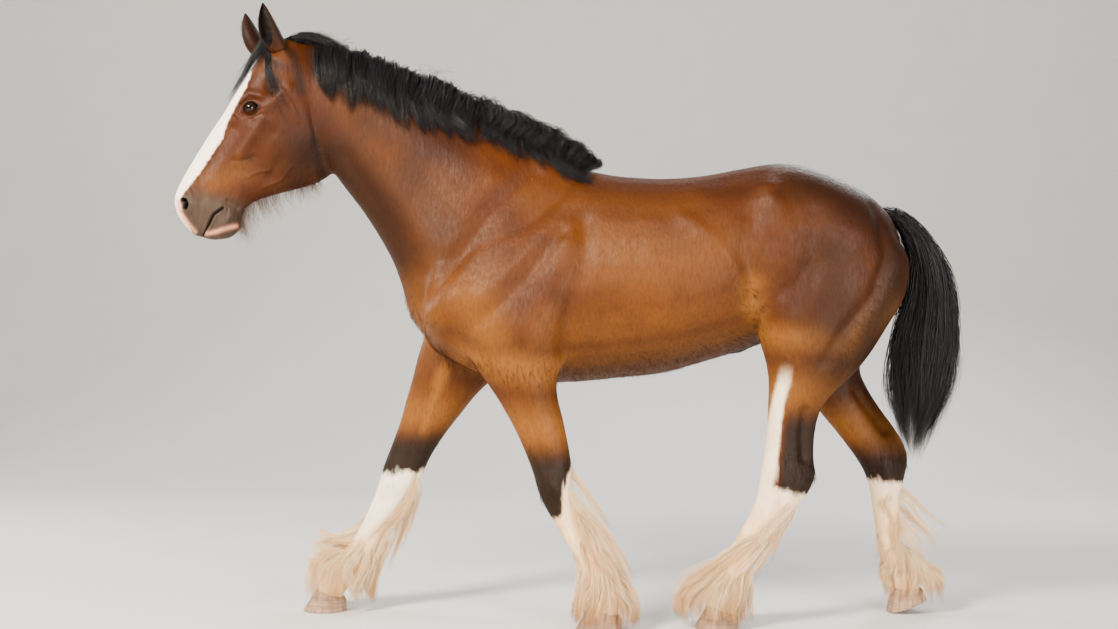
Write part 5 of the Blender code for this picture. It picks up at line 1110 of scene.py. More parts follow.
def horn_look():
    """Hoof horn with growth rings and fine upright streaks."""
    look = Look("hoof_horn", 0.55, 0.35)
    rings = look.noise(16.0, 3.0, (0.35, 0.35, 6.0))
    streaks = look.noise(60.0, 3.0, (1.0, 1.0, 0.08))
    colour = look.mix(look.mapped(streaks, 0.35, 0.7), HORN_LIGHT, HORN_MIDDLE)
    colour = look.mix(look.mapped(rings, 0.42, 0.62, 0.0, 0.5), colour, HORN_DARK)
    look.colour(colour)
    look.bump(rings, 0.5, 0.003)
    look.bump(streaks, 0.25, 0.001)
    return look.material


def eye_look():
    """A wet dark eye with a faintly streaked iris."""
    look = Look("horse_eye", 0.06, 0.35, coat=0.25)
    iris = look.noise(90.0, 4.0)
    colour = look.mix(look.value("iris"), PUPIL, IRIS)
    colour = look.mix(look.times(look.mapped(iris, 0.4, 0.7), look.value("iris")), colour, IRIS_STREAK)
    look.colour(colour)
    look.bump(iris, 0.02, 0.0004)
    return look.material


def dress(piece, material, nodes):
    """Moves a finished piece under the frame's origin, hangs it under the root body and hides the solids it
    stands in for.
    """
    piece.data.transform(Matrix.Translation((ORIGIN_X, 0, 0)))
    piece.data.materials.clear()
    piece.data.materials.append(material)
    piece.data.shade_smooth()
    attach(piece, "root")
    if nodes:
        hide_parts(*nodes)
    return piece


def thinned(obj, most):
    """Merges faces of the body where it bends least, until the skin has a number of triangles."""
    co, _ = mesh_arrays(obj.data)
    body = obj.vertex_groups.new(name="body")
    body.add(np.flatnonzero(on_the_head(co) < 0.5).tolist(), 1.0, "REPLACE")
    fewer = obj.modifiers.new("Decimate", "DECIMATE")
    fewer.vertex_group = body.name
    fewer.ratio = most / sum(len(face.vertices) - 2 for face in obj.data.polygons)
    applied(obj)
    obj.vertex_groups.clear()


# What is stored for each point of the skin, and taken over by the tufts that grow there; the last
# two are stored while the face is carved
COAT_VALUES = ("white", "black", "tan_and_painted_light", "dark", "muzzle", "shade", "bright", "pink", "rim", "hollow_shade")


def build_skin():
    """The one skin of head, neck, trunk and legs, with the masks that its material reads."""
    obj = skin()
    co, normals = mesh_arrays(obj.data)
    turned = np.array(head_turn().to_3x3().inverted())
    lines = relief(to_head(co), normals @ turned.T, FACE_LINES) * on_the_head(co)
    obj.data.vertices.foreach_set("co", (co + normals * lines[:, None]).astype(np.float32).ravel())
    obj.data.update()
    for name, values in zip(("rim", "hollow_shade"), carve_face(obj)):
        add_values(obj.data, name, np.clip(values, 0, 1))
    thinned(obj, SKIN_TRIANGLES)
    co, normals = mesh_arrays(obj.data)
    obj.data.vertices.foreach_set("co", (co - normals * SKIN_DEPTH).astype(np.float32).ravel())
    obj.data.update()
    white, black, tan_and_painted_light, dark, muzzle = markings(co, normals)
    pink = face_tint(to_head(co), on_the_head(co))
    shade, glow, bright = shading(co, on_the_head(co))
    # Painted light along the GLOWS lines is added to the tan mask
    tan_and_painted_light = np.maximum(tan_and_painted_light, glow)
    for name, values in zip(COAT_VALUES, (white, black, tan_and_painted_light, dark, muzzle, shade, bright, pink)):
        add_values(obj.data, name, np.clip(values, 0, 1))
    return obj


# The cornea: where it begins to bulge, seen from the front, and how far
CORNEA_FROM = 0.62
CORNEA_BULGE = 0.05
# The iris's edge and the level pupil's half length and height
IRIS_FROM = 0.45
PUPIL_LONG = 0.50
PUPIL_HIGH = 0.26


def build_eye(side, name):
    """A wet ball with a bulging cornea, its iris round a wide level pupil."""
    bm = bmesh.new()
    bmesh.ops.create_uvsphere(bm, u_segments=48, v_segments=32, radius=EYE_RADIUS)
    long, high, out = (Vector(v) for v in eye_axes(side))
    iris = []
    for vert in bm.verts:
        d = vert.co.normalized()
        front = d.dot(out)
        vert.co *= 1 + CORNEA_BULGE * step(front, CORNEA_FROM, 1.0)
        level = (d.dot(long) / PUPIL_LONG) ** 2 + (d.dot(high) / PUPIL_HIGH) ** 2
        iris.append(1.0 if front > IRIS_FROM and level > 1 else 0.0)
    obj = object_from(bm, name)
    add_values(obj.data, "iris", iris)
    obj.data.transform(head_turn() @ Matrix.Translation((EYE[0], side * EYE[1], EYE[2])))
    return obj


# Fraction up the ear, half width, half depth and half the angle of its opening
EAR_PROFILE = (
    (0.00, 0.030, 0.028, 0.0),
    (0.12, 0.036, 0.032, 0.05),
    (0.25, 0.041, 0.034, 0.45),
    (0.42, 0.042, 0.032, 0.85),
    (0.60, 0.037, 0.027, 1.05),
    (0.76, 0.027, 0.020, 1.05),
    (0.90, 0.014, 0.011, 0.95),
    (1.00, 0.002, 0.002, 0.8),
)
# Where up the ear its shell begins, its faces up and round it, and how thick it is
EAR_FROM = 0.06
EAR_ROWS = 34
EAR_COLUMNS = 32
EAR_SKIN = 0.0030
# Between these heights the ear turns from bay to black
EAR_DARK = (2.16, 2.27)
EAR_INSIDE = (0.026, 0.014, 0.009)


def build_ear(side, name):
    """A leaf-shaped ear, a thin curved shell that opens forwards and outwards."""
    base, axis, opening, _ = ear_axes(side)
    bm = bmesh.new()
    grid = []
    for i in range(EAR_ROWS + 1):
        t = EAR_FROM + (1 - EAR_FROM) * i / EAR_ROWS
        gap = ear_measure(t, 3)
        turns = gap + (2 * math.pi - 2 * gap) * np.arange(EAR_COLUMNS + 1) / EAR_COLUMNS
        grid.append([bm.verts.new(ear_point(side, t, turn)) for turn in turns])
    for a, b in zip(grid, grid[1:]):
        for j in range(EAR_COLUMNS):
            bm.faces.new((a[j], a[j + 1], b[j + 1], b[j]))
    obj = object_from(bm, name)
    solid = obj.modifiers.new("Solidify", "SOLIDIFY")
    solid.thickness = EAR_SKIN
    solid.offset = 0
    applied(obj)
    co, normals = mesh_arrays(obj.data)
    b, a, o = np.array(base), np.array(axis), np.array(opening)
    t = (co - b) @ a / (a @ a)
    centre = b + t[:, None] * a
    inner = step(((centre + o * 0.006 - co) * normals).sum(1), 0.0, 0.004)
    edge = np.exp(-(np.abs((co - centre) @ o - 0.016) / 0.010) ** 2) * step(t, 0.25, 0.4)
    add_values(obj.data, "inner", inner)
    add_values(obj.data, "edge", np.clip(np.maximum(edge * 0.8, step(t, 0.72, 0.98)), 0, 1))
    obj.data.transform(head_turn())
    return obj


def ear_look():
    """A bay ear with black tip and edges and a dark inside."""
    look = Look("horse_ear", 0.60, 0.25)
    fine = look.noise(160.0, 4.0, (1.0, 1.0, 0.3), 0.7)
    dark = look.mix(look.mapped(fine, 0.3, 0.8), BAY_DEEP, BLACK_HAIR)
    colour = look.mix(look.height(*EAR_DARK), BAY, dark)
    colour = look.mix(look.value("inner"), colour, EAR_INSIDE)
    colour = look.mix(look.value("edge"), colour, BLACK_HAIR)
    look.colour(colour)
    look.bump(fine, 0.25, 0.001)
    return look.material


def build_hoof(name):
    """A hoof with a rounded edge at the ground and at the coronet."""
    bm = bmesh.new()
    hoof_body(bm, HOOVES[name], LEG_SIDE[name])
    for vert in bm.verts:
        vert.co.z = max(vert.co.z, 0)
    obj = object_from(bm, name + "_horn")
    bevel = obj.modifiers.new("Bevel", "BEVEL")
    bevel.width = HOOF_EDGE
    bevel.segments = 3
    bevel.angle_limit = math.radians(50)
    fine = obj.modifiers.new("Subdivision", "SUBSURF")
    fine.levels = fine.render_levels = 1
    fine.subdivision_type = "SIMPLE"
    return applied(obj)


# Hair in strands: how thick each is from root to tip
STRAND_SHAPE = (0.75, 1.00, 0.98, 0.90, 0.78, 0.64, 0.47, 0.26, 0.0)
# Size of a strand's patch on the unwrap
PATCH = 0.003
# A guide line's points as it is smoothed, and before strands are spread round it
STEPS_PER_GAP = 6
GUIDE_POINTS = 24
# How far along a strand its drift from the guide passes from the root's to the tip's
STRAND_MIDDLE = 0.45
# Share of strands that stray further than the rest
LOOSE_SHARE = 0.14
# How far strands stay above the skin
CLEAR = 0.0015
FLOOR_GAP = 0.003


def strand_corners(points):
    """How many mesh points a strand along a line of points has."""
    return 3 * (points - 1) + 1


def strand_mesh(name, paths, half, uv, shade):
    """Closed three-sided strands along paths (n, k, 3), half wide, as one mesh with its patches."""
    n, k, _ = paths.shape
    tangent = np.gradient(paths, axis=1)
    tangent /= np.linalg.norm(tangent, axis=2, keepdims=True) + 1e-9
    spin = RANDOM.normal(size=(n, 1, 3))
    across = np.cross(tangent, spin)
    across /= np.linalg.norm(across, axis=2, keepdims=True) + 1e-9
    up = np.cross(across, tangent)
    taper = np.interp(np.linspace(0, 1, k), np.linspace(0, 1, len(STRAND_SHAPE)), STRAND_SHAPE)
    rings = k - 1
    turn = np.arange(3) * math.radians(120)
    offset = np.cos(turn)[:, None] * across[:, :rings, None] + np.sin(turn)[:, None] * up[:, :rings, None]
    body = paths[:, :rings, None, :] + offset * (half[:, None, None, None] * taper[None, :rings, None, None])
    points = np.concatenate([body.reshape(n, rings * 3, 3), paths[:, -1:, :]], axis=1)
    per = strand_corners(k)
    tris = [(0, 2, 1)]
    for r in range(rings - 1):
        for a in range(3):
            b = (a + 1) % 3
            p, q = 3 * r + a, 3 * r + b
            tris += [(p, q, q + 3), (p, q + 3, p + 3)]
    for a in range(3):
        tris.append((3 * (rings - 1) + a, 3 * (rings - 1) + (a + 1) % 3, per - 1))
    tris = np.array(tris)
    faces = (tris[None] + (np.arange(n) * per)[:, None, None]).reshape(-1)
    mesh = bpy.data.meshes.new(name)
    mesh.vertices.add(n * per)
    mesh.vertices.foreach_set("co", points.astype(np.float32).ravel())
    mesh.loops.add(len(faces))
    mesh.loops.foreach_set("vertex_index", faces.astype(np.int32))
    mesh.polygons.add(len(faces) // 3)
    mesh.polygons.foreach_set("loop_start", np.arange(0, len(faces), 3, dtype=np.int32))
    mesh.update(calc_edges=True)
    ring_at = np.concatenate([np.repeat(np.arange(rings), 3), [rings]]) / rings
    side_at = np.concatenate([np.tile([0.0, 0.5, 1.0], rings), [0.5]])
    slant = np.concatenate([np.tile([0.0, -0.12, 0.0], rings), [0.0]])
    patch = np.column_stack([ring_at + slant, side_at]) * PATCH
    places = (uv[:, None, :] + patch[None]).reshape(-1, 2)
    layer = mesh.uv_layers.new(name="OFBake")
    layer.data.foreach_set("uv", places[faces].astype(np.float32).ravel())
    add_values(mesh, "along", np.tile(ring_at, n))
    add_values(mesh, "shade", np.repeat(shade, per))
    obj = bpy.data.objects.new(name, mesh)
    bpy.context.scene.collection.objects.link(obj)
    return obj


def resampled(path, count):
    """The same line with count points at even steps along it, smoothed between them."""
    fine = rounded(np.array(path, float), STEPS_PER_GAP)
    run = np.concatenate([[0], np.cumsum(np.linalg.norm(np.diff(fine, axis=0), axis=1))])
    at = np.linspace(0, run[-1], count)
    return np.column_stack([np.interp(at, run, fine[:, i]) for i in range(3)])


def combed(guides, per, root, middle, tip, points, short, curl):
    """Strands round each guide line: spread by root, middle and tip metres, some shorter, gently waved."""
    fine = np.array([resampled(g, GUIDE_POINTS) for g in guides])
    n = len(guides) * per
    lines = np.repeat(fine, per, axis=0)
    length = RANDOM.uniform(short, 1.0, n)
    t = np.linspace(0, 1, points) ** 1.3
    at = t[None] * length[:, None] * (GUIDE_POINTS - 1)
    low = np.clip(at.astype(int), 0, GUIDE_POINTS - 2)
    part = (at - low)[..., None]
    rows = np.arange(n)[:, None]
    paths = lines[rows, low] * (1 - part) + lines[rows, low + 1] * part
    tangent = np.gradient(paths, axis=1)
    tangent /= np.linalg.norm(tangent, axis=2, keepdims=True) + 1e-9
    shape = np.interp(t, [0, STRAND_MIDDLE, 1], [0, 1, 0])[None, :, None]
    first = np.clip(1 - t / STRAND_MIDDLE, 0, 1)[None, :, None]
    last = np.clip((t - STRAND_MIDDLE) / (1 - STRAND_MIDDLE), 0, 1)[None, :, None]
    a, b, c = (RANDOM.normal(size=(n, 1, 3)) for _ in range(3))
    loose = np.where(RANDOM.random((n, 1, 1)) < LOOSE_SHARE, RANDOM.uniform(1.5, 3.2, (n, 1, 1)), 1.0)
    drift = a * root * first + (0.6 * a + 0.8 * b) * middle * shape + (0.3 * b + c) * tip * last * loose
    drift -= tangent * (drift * tangent).sum(2, keepdims=True)
    phase = RANDOM.uniform(0, 6.28, (n, 1, 1))
    waves = np.sin(t[None, :, None] * RANDOM.uniform(5, 11, (n, 1, 1)) + phase)
    waves = waves * RANDOM.normal(size=(n, 1, 3)) * curl
    return paths + drift + waves * t[None, :, None]


def settled(paths, tree):
    """Pushes strand points that lie under the skin out of it, all but the root."""
    for path in paths:
        for j in range(1, len(path)):
            point = Vector(path[j])
            place, normal, _, _ = tree.find_nearest(point, 0.08)
            if place is None:
                continue
            height = (point - place).dot(normal)
            if height < CLEAR:
                path[j] = point + normal * (CLEAR - height)
    return paths


def shades(count, clumps, group):
    """How light each strand is, alike within a clump and within a lock of group clumps."""
    per = count // clumps
    lock = np.repeat(RANDOM.random(-(-clumps // group)), group)[:clumps]
    tone = np.repeat(0.25 * lock**2 + 0.75 * RANDOM.random(clumps) ** 3, per)
    return np.clip(0.88 * tone + 0.18 * RANDOM.random(count), 0, 1)


def hair_piece(name, made, per, half, spread, points, tree=None, short=0.72, curl=0.004, group=1):
    """Strands round guides as one object, kept outside the skin where tree is given."""
    guides, places = made
    paths = combed(guides, per, *spread, points, short, curl)
    if tree:
        paths = settled(paths, tree)
    paths[:, :, 2] = np.maximum(paths[:, :, 2], FLOOR_GAP)
    n = len(paths)
    wide = half * RANDOM.uniform(0.7, 1.25, n)
    uv = np.repeat(places, per, axis=0) + RANDOM.normal(0, 0.004, (n, 2))
    tones = shades(n, len(guides), group)
    return strand_mesh(name, paths, wide, np.clip(uv, 0.002, 0.994), tones)


# Mane: locks, clumps within each and strands in each clump; a lock's clumps meet towards its tip
MANE_LOCKS = 34
MANE_CLUMPS = 10
MANE_STRANDS = 11
# How far along the neck the tips lie behind their roots, in front, on the way and at the withers
MANE_SLANT_AT = (0.075, 0.30, 0.50, 0.85, 1.00)
MANE_SLANT = (-0.070, 0.020, 0.055, 0.100, 0.040)


def mane_guides(tree, first, last):
    """Locks that stand up from the crest and fall down the near side of the neck."""
    guides, places = [], []
    for i in range(MANE_LOCKS):
        middle = first + (last - first) * (i + RANDOM.random()) / MANE_LOCKS
        slant = float(np.interp(middle, MANE_SLANT_AT, MANE_SLANT))
        layer = RANDOM.random()
        lock_reach = RANDOM.uniform(0.82, 1.12) if layer < 0.75 else RANDOM.uniform(0.45, 0.85)
        sway = RANDOM.normal() * 0.020
        lean = RANDOM.normal() * 0.012
        phase = RANDOM.uniform(0, 6)
        tall = RANDOM.uniform(0.70, 1.05)
        for _ in range(MANE_CLUMPS):
            apart = RANDOM.uniform(-1, 1)
            t = middle + 0.030 * apart
            ax, az = along(CREST, t)
            bx, bz = along(MANE_EDGE, middle + slant + 0.006 * apart)
            reach = lock_reach * RANDOM.uniform(0.86, 1.04)
            root_y = RANDOM.uniform(-0.022, 0.020)
            rise = along([(0, r, 0) for r in MANE_RISES], t).y * tall * RANDOM.uniform(0.60, 1.05)
            back = 0.010 + 0.030 * step(t, 0.45, 0.75)
            root = lay(tree, (ax, root_y, az), -0.006)
            guide = [root, root + Vector((lean + 0.2 * back, 0.002, 0.70 * rise))]
            guide.append(root + Vector((lean + back, -0.018, rise)))
            guide.append(root + Vector((lean + 1.8 * back, -0.042, 0.72 * rise - 0.008)))
            for s in (0.25, 0.45, 0.65, 0.84, 1.0):
                s *= reach
                wave = lean * (1 - s) + sway * math.sin(3.5 * s + phase)
                wave += 0.004 * math.sin(10 * s + 2 * phase)
                spot = (ax + (bx - ax) * s + wave, -0.03 - 0.14 * s**0.5, az + (bz - az) * s)
                swell = 0.006 * (1 - abs(apart)) * math.sin(math.pi * min(s, 1))
                guide.append(lay(tree, spot, 0.003 + 0.022 * layer * (1.1 - 0.6 * s) + swell))
            guides.append(guide)
            places.append((0.04 + 0.92 * (t - first) / (last - first), 0.5 + root_y * 20))
    return guides, np.array(places)


POLL_CLUMPS = 60
# Hair swept back over the poll, in the side view
POLL = ((-1.130, 2.255), (-1.085, 2.276), (-1.010, 2.274), (-0.930, 2.246), (-0.860, 2.208))


def poll_guides(tree):
    """Hair from between the ears, swept back over the poll onto the crest."""
    guides, places = [], []
    for _ in range(POLL_CLUMPS):
        side = RANDOM.uniform(-1, 1)
        start = RANDOM.random()
        high = RANDOM.uniform(0.55, 1.05)
        root = lay(tree, head_turn() @ Vector((-1.135 + 0.11 * start, 0.030 * side, 2.27)), -0.005)
        guide = [root]
        reach = RANDOM.uniform(0.75, 1.0)
        for k in (0.3, 0.55, 0.8, 1.0):
            x, z = along(POLL, start * 0.35 + (1 - start * 0.35) * k * reach)
            off = max(z - lay(tree, (x, 0, z), 0).z, 0.0) * high
            y = root.y * (1 - 0.4 * k) - 0.070 * k * k * RANDOM.random()
            guide.append(lay(tree, (x, y, z), 0.006 + off))
        guides.append(guide)
        places.append((0.2 + 0.6 * start, 0.5 + 0.4 * side))
    return guides, np.array(places)


# Loose hair that stands off the crest: where along it, how high, how many
CREST_WISPS = ((0.02, 0.17, 0.060, 26), (0.40, 0.52, 0.105, 16),
               (0.52, 0.70, 0.060, 26), (0.68, 0.98, 0.075, 60))


def wisp_guides(tree):
    """Short loose hair blown up from the crest."""
    guides, places = [], []
    for low, high, tall, count in CREST_WISPS:
        for _ in range(count):
            t = RANDOM.uniform(low, high)
            ax, az = along(CREST, t)
            root_y = RANDOM.uniform(-0.022, 0.022)
            root = lay(tree, (ax, root_y, az), -0.004)
            up = tall * RANDOM.uniform(0.35, 1.0)
            run = RANDOM.uniform(0.2, 1.5) * up
            side = RANDOM.uniform(-1.2, 0.5) * up
            guides.append([root, root + Vector((0.15 * run, 0.1 * side, 0.75 * up)),
                           root + Vector((0.55 * run, 0.5 * side, up * 0.95)),
                           root + Vector((run, side, up * RANDOM.uniform(0.25, 0.85)))])
            places.append((0.04 + 0.92 * t, 0.5 + root_y * 20))
    return guides, np.array(places)


FORELOCK_CLUMPS = 64
TEMPLE_CLUMPS = 24
# The near part of the forelock, in the straight head's frame
FORELOCK_NEAR = ((-1.150, -0.012, 2.278), (-1.196, -0.034, 2.240), (-1.222, -0.056, 2.175),
                 (-1.222, -0.070, 2.085))


def forelock_guides(tree):
    """From between the ears: a near part that ends above the eye and a long one down the forehead."""
    turn = head_turn()
    guides, places = [], []
    for i in range(FORELOCK_CLUMPS):
        fan = RANDOM.uniform(-1, 1)
        near = i % 5 < 3
        line = FORELOCK_NEAR if near else FORELOCK
        reach = RANDOM.uniform(0.35, 0.90) if near else RANDOM.uniform(0.55, 1.1)
        x = -1.150 - 0.012 * RANDOM.random()
        root = Vector((x, -0.008 + 0.026 * fan, 2.275 + 0.01 * RANDOM.random()))
        guide = [lay(tree, turn @ root, -0.005), turn @ (root + Vector((-0.026, -0.004, 0.012)))]
        for s in (0.35, 0.6, 0.8, 1.0):
            s *= reach
            x, y, z = along(line, s)
            x += (0.074 * s**0.6 if near else 0.008 * s) * fan + 0.004 * math.sin(6 * s + i)
            y += (0.016 if near else 0.026) * fan * s
            lift = 0.014 * (1 - s) if near else 0.012 * (1.3 - s)
            guide.append(lay(tree, turn @ Vector((x, y, z)), 0.005 + lift + 0.007 * RANDOM.random()))
        guides.append(guide)
        places.append((0.5 + 0.4 * fan, 0.3 + 0.4 * RANDOM.random()))
    return guides, np.array(places)


def temple_guides(tree):
    """Thin wisps that leave the forelock and lie back across the temple."""
    turn = head_turn()
    guides, places = [], []
    for i in range(TEMPLE_CLUMPS):
        back = RANDOM.uniform(0.01, 0.120)
        fall = RANDOM.uniform(0.5, 1.0)
        guide = [lay(tree, turn @ Vector((-1.190 + 0.02 * RANDOM.random(), -0.045, 2.215)), -0.004)]
        for s in (0.3, 0.6, 1.0):
            spot = Vector((-1.205 + back * s * s, -0.070 - 0.05 * s, 2.215 - (0.14 + back) * 1.5 * fall * s))
            guide.append(lay(tree, turn @ spot, 0.003 + 0.004 * RANDOM.random()))
        guides.append(guide)
        places.append((0.08 + 0.035 * i, 0.3 + 0.4 * RANDOM.random()))
    return guides, np.array(places)


TAIL_LOCKS = 50
TAIL_CLUMPS = 6
TAIL_STRANDS = 7
# How far down the tail its hair is rooted
DOCK = 0.34


def tail_guides():
    """Locks rooted down the dock that run in wavy lanes to their tips."""
    guides, places = [], []
    for _ in range(TAIL_LOCKS):
        lane = RANDOM.uniform(0, 2 * math.pi)
        begin = DOCK * RANDOM.random() ** 1.2
        end = min(RANDOM.uniform(0.78, 1.12), 1.0) if begin > 0.02 else RANDOM.uniform(0.4, 0.8)
        outer = RANDOM.uniform(0.30, 1.0) ** 0.5
        phase = RANDOM.uniform(0, 6)
        drift = RANDOM.normal() * 0.25
        swing = RANDOM.uniform(0.6, 1.6)
        for _ in range(TAIL_CLUMPS):
            apart = RANDOM.uniform(-1, 1)
            start = max(begin + 0.02 * RANDOM.normal(), 0.0)
            stop = min(end * RANDOM.uniform(0.93, 1.03), 1.0)
            deep = outer * RANDOM.uniform(0.86, 1.06)
            guide = []
            for k in np.linspace(0, 1, 12):
                t = start + (stop - start) * k
                scale = 0.45 + (deep * 0.98 - 0.45) * min(k * 4, 1)
                wave = 0.15 * math.sin(9 * t + phase) * k + 0.42 * apart * (1 - 0.75 * k)
                point = envelope_point(TAIL, t, lane + drift * k + wave, scale, 1)
                point.x += 0.014 * swing * math.sin(15 * t + phase) * k
                point.y += 0.010 * swing * math.sin(18 * t + 2 * phase) * k
                guide.append(point)
            guides.append(guide)
            places.append((0.04 + 0.92 * min(start / DOCK, 1), (lane / (2 * math.pi) + 0.05 * apart) % 1))
    return guides, np.array(places)


FEATHER_LOCKS = 62
FEATHER_CLUMPS = 5
FEATHER_STRANDS = 9
FEATHER_POINTS = 8
# Share of the locks that make the skirt over the hoof, and how near the floor its tips hang
SKIRT_SHARE = 0.50
SKIRT_LOW = {"near_fore": 0.008, "off_fore": 0.040, "near_hind": 0.008, "off_hind": 0.060}
# Hair blown forwards from two pasterns: its upper and its lower edge, from root to tip in the side view
BLOWN = {
    "off_fore": (((-0.880, 0.280), (-0.975, 0.300), (-1.050, 0.345)),
                 ((-0.970, 0.150), (-1.050, 0.160), (-1.095, 0.220))),
    "near_hind": (((0.575, 0.265), (0.455, 0.225), (0.372, 0.215)),
                  ((0.508, 0.115), (0.405, 0.070), (0.335, 0.080))),
}
BLOWN_CLUMPS = 44
# How far round the cannon the upper locks grow, 1 all round
ALL_ROUND = {"near_fore": 0.80, "off_fore": 0.50, "near_hind": 0.62, "off_hind": 0.85}


def feather_guides(name, tree):
    """Locks that leave the leg below the knee or hock and fall, some of them as a skirt over the hoof."""
    side = LEG_SIDE[name]
    ribs = FEATHERS[name]
    guides, places = [], []
    skirts = int(FEATHER_LOCKS * SKIRT_SHARE)
    for i in range(FEATHER_LOCKS):
        skirt = i < skirts
        begin = RANDOM.uniform(0.56, 0.78) if skirt else RANDOM.random() ** 0.85 * 0.80
        round_leg = ALL_ROUND[name] + (1 - ALL_ROUND[name]) * step(begin, 0.12, 0.42)
        lane = math.pi * (1 + round_leg * (2 * RANDOM.random() - 1))
        if skirt:
            lane = 2 * math.pi * (i + RANDOM.random()) / skirts
        rear = 0.5 - 0.5 * math.cos(lane)
        length = RANDOM.uniform(0.20, 0.32) + 0.24 * rear * (0.5 + 0.5 * begin)
        end = min(begin + length, 1.0 + 0.015 * RANDOM.random())
        if skirt:
            end = 1.0
        outer = RANDOM.uniform(0.78, 1.06) + 0.06 * rear
        phase = RANDOM.uniform(0, 6)
        swing = RANDOM.normal() * 0.010
        for _ in range(FEATHER_CLUMPS):
            apart = RANDOM.uniform(-1, 1)
            start = min(max(begin + 0.025 * RANDOM.normal(), 0.0), 0.97)
            turn = lane + 0.20 * apart
            root = lay(tree, envelope_point(ribs, start, turn, 0.55, side), -0.004)
            surface = lay(tree, root, 0.0)
            guide = [root, surface]
            stop = end + 0.02 * RANDOM.normal()
            far = outer * RANDOM.uniform(0.93, 1.03)
            for k in (0.22, 0.48, 0.75, 1.0):
                close = 1 - (0.35 if skirt else 0.8) * k
                down = start + (stop - start) * k
                point = envelope_point(ribs, down, lane + 0.20 * apart * close, far, side)
                skin_side = lay(tree, point, 0.004)
                wave = swing * math.sin(5 * k + phase)
                guide.append(skin_side.lerp(point, min(0.30 + 0.75 * k, 1.0)) + Vector((wave, 0.6 * wave, 0)))
            if skirt:
                guide[-1].z = min(guide[-1].z, SKIRT_LOW[name] * RANDOM.uniform(0.3, 1.6))
            guides.append(guide)
            places.append((0.04 + 0.92 * start, np.mod(turn / (2 * math.pi), 1)))
    for _ in range(BLOWN_CLUMPS if name in BLOWN else 0):
        down = RANDOM.random()
        across = RANDOM.uniform(-1, 1)
        guide = []
        for k, (high, low) in enumerate(zip(*BLOWN[name])):
            x, z = Vector(high).lerp(Vector(low), down + 0.06 * RANDOM.normal())
            y = side * ribs[0].side + (0.036 + 0.020 * k) * across
            guide.append(Vector((x, y, z)))
        guide[-1] = guide[1].lerp(guide[-1], RANDOM.uniform(0.6, 1.05))
        surface = lay(tree, guide[0], 0.0)
        guides.append([lay(tree, guide[0], -0.004), surface.lerp(guide[1], 0.15), *guide[1:]])
        places.append((0.6 + 0.3 * down, 0.5 + 0.2 * across))
    return guides, np.array(places)


def fringe_guides(tree, line, count, long, back, spread, turn=None):
    """Thin hair that hangs from a line under the body or jaw."""
    guides, places = [], []
    for i in range(count):
        t = RANDOM.random()
        x, z = along(line, t)
        spot = Vector((x, RANDOM.normal() * spread, z))
        if turn:
            spot = turn @ spot
        root = lay(tree, spot, -0.003)
        fuller = 0.45 + 0.55 * math.sin(math.pi * min(2.4 * t, 0.5 + 0.5 * t))
        size = long * RANDOM.uniform(0.25, 1.0) * fuller
        down = Vector((back * RANDOM.uniform(0.3, 1.3), RANDOM.normal() * 0.12, -1)).normalized()
        guides.append([root, root + down * size * 0.4, root + down * size * 0.75 + Vector((0.1 * size, 0, 0)),
                       root + down * size + Vector((0.25 * size * back, 0.1 * size * RANDOM.normal(), 0))])
        places.append((0.04 + 0.92 * t, RANDOM.random()))
    return guides, np.array(places)


LASHES = 34
WHISKERS = 60
EAR_HAIRS = 130
JAW_LINE = ((-1.303, 1.545), (-1.285, 1.590), (-1.235, 1.630), (-1.160, 1.660), (-1.060, 1.690),
            (-0.990, 1.715))
BELLY_LINE = ((0.42, 1.02), (0.20, 1.00), (-0.02, 1.00))


def lash_guides(side):
    """The upper lid's lashes, swept out and down."""
    long, high, out = (Vector(v) for v in eye_axes(side))
    centre = Vector((EYE[0], side * EYE[1], EYE[2]))
    turn = head_turn()
    guides, places = [], []
    for i in range(LASHES):
        u = LID_LONG * (2 * (i + 0.5) / LASHES - 1) * 0.92
        v = LID_HIGH * max(1 - abs(u / LID_LONG) ** LID_POWER, 0) ** (1 / LID_POWER) * 1.06
        w = math.sqrt(max((EYE_RADIUS + LID_THICK) ** 2 - u * u - v * v, 0))
        root = centre + long * u + high * v + out * (w - 0.003)
        size = 0.024 * RANDOM.uniform(0.7, 1.0)
        tip = root + out * size * 0.85 + high * size * 0.10 + long * u * 0.25
        guides.append([turn @ p for p in (root, root + out * size * 0.5 + high * size * 0.16, tip)])
        places.append((0.3 + i * 0.01, 0.5 + 0.2 * side))
    return guides, np.array(places)


def whisker_guides(tree):
    """A few stiff hairs on the lips and chin."""
    turn = head_turn()
    guides, places = [], []
    for i in range(WHISKERS):
        side = OFF if i % 2 else NEAR
        low = RANDOM.random()
        spot = Vector((-1.53 + 0.15 * RANDOM.random(), side * RANDOM.uniform(0.02, 0.06), 1.60 - 0.10 * low))
        place, normal, _, _ = tree.find_nearest(turn @ spot)
        size = RANDOM.uniform(0.018, 0.045)
        sag = Vector((0.1, 0, -0.35)) * size
        tip = place + normal * size * 0.9 + sag
        guides.append([place - normal * 0.002, place + normal * size * 0.5, tip])
        places.append((0.5 + 0.3 * low, 0.5 + 0.3 * side * RANDOM.random()))
    return guides, np.array(places)


